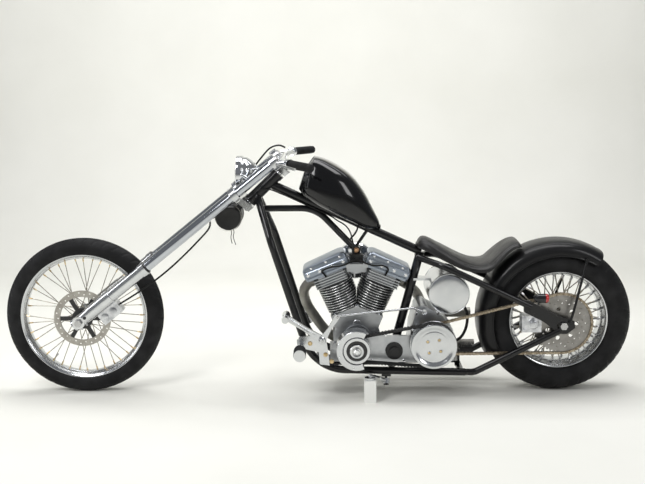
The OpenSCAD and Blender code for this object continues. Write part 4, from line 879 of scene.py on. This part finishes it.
def makeRocker(side):
    # three stacked covers: each level takes the outline's width at its height, with a soft edge at every seam
    shapes = []
    left = np.array([[-104 + 8, 0], [-104 + 8, 60], [-96 + 8, 74]])
    right = np.array([[98 + 8, 0], [104 + 8, 12], [104 + 8, 46], [94 + 8, 62]])
    for low, high in rockerShape["levels"]:
        top = high >= 70
        u = np.array([0, 0, 0.1, 0.4, 0.7, 0.9, 1, 1.0] if top else [0, 0.0, 0.12, 0.5, 0.88, 1.0, 1.0])
        inset = np.array([60, 2, 0, 0, 1.5, 6, 13, 60] if top else [60, 2.2, 0, 0, 0, 2.2, 60])
        z = low + (high - low) * u
        rings = []
        for zz, d in zip(z, inset):
            x0 = np.interp(zz, left[:, 1], left[:, 0])
            x1 = np.interp(zz, right[:, 1], right[:, 0])
            c = rockerShape["corner"]
            a = np.linspace(0, math.pi / 2, 7)
            hx, hy = (x1 - x0) / 2, rockerShape["half"]
            mx = (x0 + x1) / 2
            quarter = [np.stack([qx * (hx - c + c * np.cos(t)), qy * (hy - c + c * np.sin(t))], 1)
                       for qx, qy, t in ((1, 1, a), (-1, 1, a[::-1]), (-1, -1, a), (1, -1, a[::-1]))]
            loop = np.concatenate(quarter)
            loop = loop * np.maximum(1 - d / np.array([hx, hy]), 0.0)
            slope = 1.0 if zz > 62 else 0.0
            zs = zz - slope * (zz - 60) * 0.75 * np.clip((loop[:, 0] + hx * 0.2) / (1.2 * hx), 0, 1)
            rings.append(np.stack([(loop[:, 0] + mx) * side, loop[:, 1], zs + rockerShape["base"]], -1))
        shapes.append(surface(onCylinder(side, np.stack(rings)), False, True))
    # a smaller core closes the gaps between the levels
    core = np.array([[-92, -58], [106, -58], [106, 58], [-92, 58]]) * [side, 1]
    rings = [np.column_stack([core, np.full(4, z + rockerShape["base"])]) for z in (12, 18, 40, 46)]
    shapes.append(surface(onCylinder(side, np.stack(rings)), False, True))
    return shapes


piece("rocker_covers", makeRocker(-1) + makeRocker(1), "frame", "rocker_alloy", ["rocker_boxes"],
      sharp=18)
headBolts = []
for s in (-1, 1):
    for x in (-80, -28, 30, 84):
        for y in (-1, 1):
            at = onCylinder(s, [s * (x + 8), y * 61.5, rockerShape["base"] + 29])
            headBolts += bolt(at, [0, y, 0], 12, 6)
    for x, z in ((-74, 57), (-10, 57), (60, 54)):
        for y in (-1, 1):
            headBolts += bolt(onCylinder(s, [s * (x + 8), y * 60, rockerShape["base"] + z]), [0, y, 0], 9,
                              5, 12)
    for y in (-38, 0, 38):
        end = onCylinder(s, [s * -96, y, rockerShape["base"] + 28])
        headBolts += bolt(end, cylinderAxis(s, [-s, 0, 0]), 11, 5)
    for x in (-50, 50):
        for y in (-1, 1):
            headBolts += bolt(onCylinder(s, [x, y * 66, 133 + 3]), cylinderAxis(s, [0, 0, 1]), 13, 9)
piece("head_bolts", headBolts, "frame", "chrome")
# engine mount: copper-toned bolts through the brace boss, one from each side
piece("mount_bolt", bolt(f(-2, -16, 636), [0, -1, 0], 20, 9) + bolt(f(-2, 16, 636), [0, 1, 0], 20, 9), "frame",
      "copper")


def caseDetails():
    shapes = []
    # bearing boss with three screws, and ribs that fan out from it to the barrels' feet
    boss = f(0, -58, 318)
    shapes.append(spun([(0, 6), (15, 6), (17, 4.5), (17, -4), (0, -4)], boss, (0, -1, 0), 36))
    for k in range(3):
        a = math.radians(90 + 120 * k)
        shapes += bolt(boss + [10 * math.cos(a), -6, 10 * math.sin(a)], [0, -1, 0], 6, 3, 12)
    for a in np.radians([38, 58, 76, 104, 122, 142]):
        near, far = (crank + [r * math.cos(a), -58, r * math.sin(a)] for r in (62, 101))
        shapes.append(tube(np.linspace(near, far, 6), [3.5, 4, 4, 4, 4, 3], 10))
    # bolts round the joint of the two halves
    for a in np.radians([200, 228, 262, 300, 336, 158]):
        shapes += bolt(crank + [97 * math.cos(a), -58, 97 * math.sin(a)], [0, -1, 0], 12, 7)
    return shapes


piece("case_details", caseDetails(), "frame", "cast_alloy")
print("engine made")

# ---------- primary drive ----------

primary = {"y": -190, "pulley": f(-6, -190, 240), "clutch": f(323, -190, 257), "beltWide": 38}


def loopPath(c1, r1, c2, r2, count):
    # outline of a band round two circles in the XZ plane, evenly spaced, with its outward normals
    d = np.array([c2[0] - c1[0], c2[2] - c1[2]])
    far = np.linalg.norm(d)
    along = math.atan2(d[1], d[0])
    tilt = math.acos((r1 - r2) / far)
    a1 = np.linspace(along + tilt, along + 2 * math.pi - tilt, 400)
    a2 = np.linspace(along - tilt, along + tilt, 400)
    p = np.concatenate([np.stack([c1[0] + r1 * np.cos(a1), c1[2] + r1 * np.sin(a1)], 1),
                        np.stack([c2[0] + r2 * np.cos(a2), c2[2] + r2 * np.sin(a2)], 1)])
    p = np.vstack([p, p[:1]])
    run = np.concatenate([[0], np.cumsum(np.linalg.norm(np.diff(p, axis=0), axis=1))])
    t = np.linspace(0, run[-1], count, endpoint=False)
    x, z = np.interp(t, run, p[:, 0]), np.interp(t, run, p[:, 1])
    ahead = np.stack([np.roll(x, -1) - np.roll(x, 1), np.roll(z, -1) - np.roll(z, 1)], 1)
    ahead /= np.linalg.norm(ahead, axis=1, keepdims=True)
    return np.stack([x, z], 1), np.stack([ahead[:, 1], -ahead[:, 0]], 1), run[-1]


def makeBelt():
    # toothed belt: square teeth at a 14 mm pitch across its back
    path, out, length = loopPath(primary["pulley"], 54.6, primary["clutch"], 98.2, 1400)
    teeth = round(length / 14)
    wave = np.clip(np.sin(np.linspace(0, 2 * math.pi * teeth, 1400, endpoint=False)) * 3, -1, 1)
    inner = 6.2
    back = 2.4 * (1 - wave) / 2
    half = primary["beltWide"] / 2 - 0.6
    rows = []
    for depth, y in ((back + 0.5, half), (back, half - 0.8), (back, -half + 0.8), (back + 0.5, -half),
                     (inner, -half),
                     (inner, half)):
        q = path - out * (np.broadcast_to(depth, 1400)[:, None])
        rows.append(np.stack([q[:, 0], np.full(1400, primary["y"] + y), q[:, 1]], -1))
    return surface(np.stack(rows, 1), True, True)


piece("toothed_belt", makeBelt(), "frame", "belt_rubber", ["primary_belt"], sharp=40)
clutchOut = (0, -1, 0)
c = primary["clutch"]
dish = [(0, 17.2), (30, 17), (58, 16.2), (64, 15.6), (67, 14.6), (72, 15.4), (78, 18.4), (83, 22.0),
        (86, 23.4), (88, 23.8), (94, 23.8), (96.4, 23), (97, 21.4), (96.4, 19.6),
        (90.2, 19), (90.2, -19), (100, -19.4), (101, -20.6), (99, -23), (40, -23), (20, -24), (20, -68),
        (0, -68)]
piece("clutch_drum", spun(dish, c, clutchOut, 128), "frame", "polished_alloy", ["clutch"], sharp=30)
screws, springCups = [], []
for k in range(4):
    a = math.radians(45 + 90 * k + 8)
    at = c + [35 * math.cos(a), -16.8, 35 * math.sin(a)]
    springCups.append(spun([(0, -3), (8.2, -3), (8.2, 0.8), (7.4, 1.6), (0, 1.6)], at, clutchOut, 28))
    screws += bolt(at + [0, -1, 0], clutchOut, 9.5, 4.2)
piece("clutch_screws", screws, "frame", "brass")
piece("clutch_cups", springCups, "frame", "cast_alloy")
teethRing = []
for centerAt, r, n in ((c, 91.3, 52), (primary["pulley"], 49.0, 28)):
    tooth = surface(np.stack([np.array([(x, yy, r + h) for x, h in ((-3, -2.0), (-1.7, 0), (1.7, 0),
                                                                    (3, -2.0))])
                              + centerAt for yy in (-18.4, 18.4)]))
    teethRing.append(repeated(tooth, turnsAbout(centerAt, n)))
piece("pulley_teeth", teethRing, "frame", "cast_alloy", sharp=40)
p0 = primary["pulley"]
face = [(0, 24), (20, 24), (21, 30.5), (24, 31.4), (28.5, 31.2), (30, 29.5), (30.5, 21.4), (43.5, 21.2),
        (45, 23),
        (56.4, 22.8), (58, 20.8), (57.4, 19.4), (48.5, 19), (48.5, -19), (57.4, -19.4), (58, -21),
        (20, -22), (0, -22)]
piece("pulley_face", spun(face, p0, clutchOut, 96), "frame", "polished_alloy", ["engine_pulley"], sharp=30)
well = [(30.2, 21.3), (30.6, 22), (43.4, 22), (43.9, 21.4)]
piece("pulley_well", spun(well, p0, clutchOut, 72), "frame", "lamp_black")
innerWell = [(0, 25.2), (17, 25.2), (20.8, 26.5), (21, 24), (0, 24)]
piece("pulley_well_inner", spun(innerWell, p0, clutchOut, 48), "frame", "axle_steel")
piece("pulley_bolt", bolt(p0 + [0, -25, 0], clutchOut, 23, 13), "frame", "chrome")


def guardRing():
    # flat bright band round the pulley, open towards the belt, its inner edge rolled back
    a = np.radians(np.linspace(62, 292, 120))
    section = np.array([(60.5, 12), (60.5, 22.4), (62, 24), (84.5, 24), (86.6, 22), (86.6, -36),
                        (84.2, -36), (84.2, 20), (63, 20)])
    r, d = section[None, :, 0], section[None, :, 1]
    grid = np.stack([p0[0] + r * np.cos(a)[:, None], p0[1] - d + 0 * a[:, None],
                     p0[2] + r * np.sin(a)[:, None]], -1)
    ends = [np.repeat(grid[k].mean(0)[None, None], len(section), 1) for k in (0, -1)]
    return surface(np.concatenate([ends[0], grid, ends[1]]), False, True)


piece("pulley_guard", guardRing(), "frame", "polished_alloy", sharp=40)
print("primary drive made")

# ---------- chain ----------


def makeChain():
    # links of two waisted plates and a roller, alternating narrow and wide along the loop
    c1, c2 = f(319, -114, 256), rearHub + [0, -114, 0]
    length = loopPath(c1, 62.3, c2, 131.6, 2000)[2]
    count = 2 * round(length / 15.875 / 2)
    path, out, _ = loopPath(c1, 62.3, c2, 131.6, count)
    t = np.linspace(0, 2 * math.pi, 12, endpoint=False)
    pitch = length / count
    x = np.where(np.cos(t) > 0, 1, -1) * pitch / 2 * (np.abs(np.cos(t)) > 0.1) + 6.2 * np.cos(t)
    z = 6.6 * np.sin(t) * (1 - 0.28 * (np.abs(np.cos(t)) < 0.3))
    outline = np.stack([x, 0 * x, z], -1)
    roller = spun([(0, -8.4), (2.8, -8.4), (3.0, -6), (4.9, -3.8), (4.9, 3.8), (3.0, 6), (2.8, 8.4), (0, 8.4)],
                  (0, 0, 0), (0, 1, 0), 8)
    middle = (path + np.roll(path, -1, 0)) / 2
    ahead = np.roll(path, -1, 0) - path
    angle = np.arctan2(ahead[:, 1], ahead[:, 0])
    moves = [np.array(Matrix.Translation((middle[k, 0], -114, middle[k, 1])) @ Matrix.Rotation(-angle[k], 4,
                                                                                               "Y"))
             for k in range(count)]
    pins = [np.array(Matrix.Translation((path[k, 0], -114, path[k, 1]))) for k in range(count)]
    shapes = []
    for parity, y in ((0, 4.2), (1, 6.2)):
        for s in (-1, 1):
            plate = slab(outline + [0, s * y, 0], [0, s * 1.6, 0], 0.5)
            shapes.append(repeated(plate, [moves[k] for k in range(parity, count, 2)]))
    shapes.append(repeated(roller, pins))
    return shapes


piece("chain_links", makeChain(), "frame", "chain_steel", ["chain"], sharp=40)
print("chain made")

# ---------- oil tank ends, levers, peg rubbers and small fittings on the frame ---

tankEnd = f(398, -105, 458)
end = [(0, 6.4), (30, 6.2), (60, 5.0), (78, 2.6), (84, 0.6), (86, -0.5), (87.2, 0.9), (88.8, 0.9),
       (89.3, -0.8), (88.9, -5), (86, -5), (0, -5)]
piece("oil_tank_end", spun(end, tankEnd, (0, -1, 0), 128), "frame", "polished_alloy", sharp=28)
piece("oil_tank_end_right", spun(end, f(398, 105, 458), (0, 1, 0), 128), "frame", "polished_alloy", sharp=28)
brassBolts = []
for x, y, z in ((-139, -178, 215), (-113, -178, 185), (-205, -178, 265)):
    brassBolts += bolt(f(x, y, z), (0, -1, 0), 16, 8)
piece("control_bolts", brassBolts, "frame", "brass")
fittings = []
for x, z in ((236, 300), (260, 366), (352, 368), (400, 300), (410, 175), (240, 170)):
    fittings += bolt(f(x, -84, z), (0, -1, 0), 12, 7)
for a in np.radians([80, 140, 200, 260]):
    fittings += bolt(p0 + [78.5 * math.cos(a), -20, 78.5 * math.sin(a)], (0, -1, 0), 9, 5, 12)
for x, z in ((-60, 176), (60, 178), (120, 290), (200, 176), (240, 310)):
    fittings += bolt(f(x, -148, z), (0, -1, 0), 11, 6)
piece("case_bolts", fittings, "frame", "chrome")


def flatLever(start, finish, wide, thick, ends):
    # bar with two round ends, thinner in the middle, lying square to Y
    start, finish = np.asarray(start, float), np.asarray(finish, float)
    d = unit((finish - start) * [1, 0, 1])
    n = np.array([-d[2], 0, d[0]])
    t = np.linspace(-math.pi / 2, math.pi / 2, 13)
    far = [finish + ends[1] * (np.cos(q) * d + np.sin(q) * n) for q in t]
    near = [start - ends[0] * (np.cos(q) * d + np.sin(q) * n) for q in t]
    waist = [(start + finish) / 2 + n * wide / 2]
    other = [(start + finish) / 2 - n * wide / 2]
    return slab(np.array(far + waist + near + other), [0, -thick, 0], 1.2)


pivot = f(-153, -188, 286)
levers = [flatLever(pivot, f(-300, -196, 384), 21, 9, (17, 13)),
          flatLever(pivot + [0, -9, 0], f(-89, -196, 388), 17, 8, (15, 11)),
          spun([(0, 24), (9, 24), (13, 22.5), (15.5, 19), (16, 8), (0, 8)], pivot, (0, -1, 0), 36),
          spun([(0, 16), (16, 16), (17.5, 14.5), (17.5, -46), (16, -47), (0, -47)], f(-306, -212, 389),
               (0, -1, 0), 36)]
piece("gear_levers", levers, "frame", "polished_alloy", sharp=30)
leverScrews = []
for at, across, height in ((pivot + [0, -24, 0], 12, 5), (f(-89, -204, 388), 11, 6),
                           (f(-306, -228, 389), 14, 4)):
    leverScrews += bolt(at, (0, -1, 0), across, height, 12)
piece("lever_screws", leverScrews, "frame", "axle_steel")
pegs = []
for s in (-1, 1):
    ribs = [(25.1, 0), *((25.1 + 1.3 * (k % 2), 5 + 5.4 * (k // 2) + 2.2 * (k % 2)) for k in range(24)),
            (25.1, 71)]
    pegs.append(spun(ribs, f(-247, s * 251, 257), (0, s, 0), 40))
piece("peg_rubbers", pegs, "frame", "grip_rubber", sharp=50)


print("fittings made")

# ---------- fork ----------


def onLeg(side, at):
    return frontHub + at * legUp + [0, side * 106, 0]


forkBits = []
for s in (-1, 1):
    # dust seal and a small round head low on each leg; the pinch bolts are made with the tree bolts below
    forkBits.append(spun([(22.9, -7), (30.5, -7), (31, -4), (30, 1), (26, 6), (23, 7.5)], onLeg(s, 378.2),
                         legUp,
                         64, True))
    forkBits.append(spun([(0, -4), (7, -4), (7, 3), (6, 4), (0, 4)], onLeg(s, 36) + [0, s * 28, 0],
                         (0, s, 0), 20))
piece("fork_seals", forkBits, "fork", "lamp_black")
treeBolts = []
for at in (876.3, 1097.3):
    for s in (-1, 1):
        for shift in (-8, 8):
            spot = onLeg(s, at + shift) - legOver * 28 - [0, s * 12, 0]
            treeBolts += bolt(spot, -legOver, 9, 7, 12)
for s in (-1, 1):
    treeBolts.append(spun([(0, 6), (9, 6), (10, 5), (20, 4), (23.5, 1.5), (24, -2), (24, -5), (0, -5)],
                          onLeg(s, 1097.3 + 18), legUp, 48))
    for at in (-14, 14):
        treeBolts += bolt(onLeg(s, at) + legOver * 29, legOver, 9, 6, 12)
piece("fork_bolts", treeBolts, "fork", "axle_steel")
lampAt = f(-519, 0, 978)
shellSide = np.array([[1, 6], [1, 22], [.93, 30], [.9, 44], [.75, 62], [.52, 80], [.25, 94], [0, 98]])
shell = smooth(shellSide * [77, 1], 60)
ears = [tube(np.linspace(lampAt + [26, s * 74, 0], lampAt + [86, s * 82, -34], 8), 8, 14)
        for s in (-1, 1)]
for s in (-1, 1):
    ears += bolt(lampAt + [26, s * 78, 0], (0, s, 0), 15, 8)
piece("lamp_shell", [spun(np.concatenate([[[0, 0.6], [70, 0.6], [76.5, 3]], shell]), lampAt, (1, 0, 0),
                          96)] + ears,
      "fork", "chrome", ["headlight"], sharp=50)
bezel = [(66, -2), (72, -2.5), (76.4, -1), (77, 3), (76.4, 8), (74, 9), (70, 8), (66, 4)]
piece("lamp_bezel", spun(bezel, lampAt, (1, 0, 0), 96, True), "fork", "chrome", sharp=50)
piece("lamp_mirror", spun([(0, -1.6), (66, -1.2), (66, 1.4), (0, 1.4)], lampAt, (1, 0, 0), 64), "fork",
      "reflector")
a = np.linspace(0, 2 * math.pi, 96, endpoint=False)
glassProfile = np.array([(0.0, -9.5), (14, -9.2), (28, -8.3), (42, -6.9), (54, -5.0), (63, -3.0), (66, -2.0)])
out, depth = glassProfile[None, :, 0], glassProfile[None, :, 1]
flutes = lampAt + np.stack([depth + 0.35 * np.cos(a * 24)[:, None] * (out > 1),
                            out * np.cos(a)[:, None], out * np.sin(a)[:, None]], -1)
back = flutes[:, ::-1] + [2.2, 0, 0]
piece("lamp_glass", surface(np.concatenate([flutes, back], 1), True, True), "fork", "glass",
      sharp=60)


def makeGrip(side):
    # rubber sleeve: end flange, raised rings between two plain bands, closed outer end
    tip = f(-194, side * 345, 1042)
    ahead = unit(tip - f(-281, side * 240, 1046))
    t = np.linspace(-128, 4.5, 150)
    r = 16.6 + 1.2 * (np.cos(t * 2 * math.pi / 7) > 0) * ((t > -112) & (t < -14))
    r = np.where((t < -121), 18, r)
    r = np.where(t > 0, 16.6 - (t / 4.5) ** 2 * 3, r)
    profile = np.concatenate([[(12.9, -128)], np.stack([r, t], 1), [(0, 5.2)]])
    return spun(profile, tip, ahead, 40)


piece("grip_sleeves", [makeGrip(-1), makeGrip(1)], "fork", "grip_rubber", ["grips"], sharp=50)
print("fork made")

# ---------- tail lamp lens and caliper caps ----------

lensAt = rearHub + [-74.8, -150, 122]
lens = [(0, 9), (8, 8.6), (14, 7.2), (18, 4.6), (19.6, 1.5), (19.9, -7), (19.4, -8), (0, -8)]
piece("tail_lens", spun(lens, lensAt, (1, 0, 0), 48), "frame", "lens_red")
caliperBits = [spun([(0, 12), (12, 12), (15, 10.5), (16, 4), (21, 3), (25, 0), (26, -6), (0, -6)],
                    rearHub + [-128, -139, 6], (0, -1, 0), 48)]
for x, z in ((-166, -22), (-166, 30), (-104, 28)):
    caliperBits += bolt(rearHub + [x, -139, z], (0, -1, 0), 13, 7)
piece("caliper_caps", caliperBits, "frame", "caliper_alloy")
frontBits = []
for at in (88, 132):
    frontBits.append(spun([(0, 5), (14, 5), (17, 3.5), (18, 0), (18, -5), (0, -5)],
                          frontHub + at * legUp + legOver * 58 + [0, -84, 0], (0, -1, 0), 40))
piece("front_caliper_caps", frontBits, "fork", "caliper_alloy")
print("lamps made")
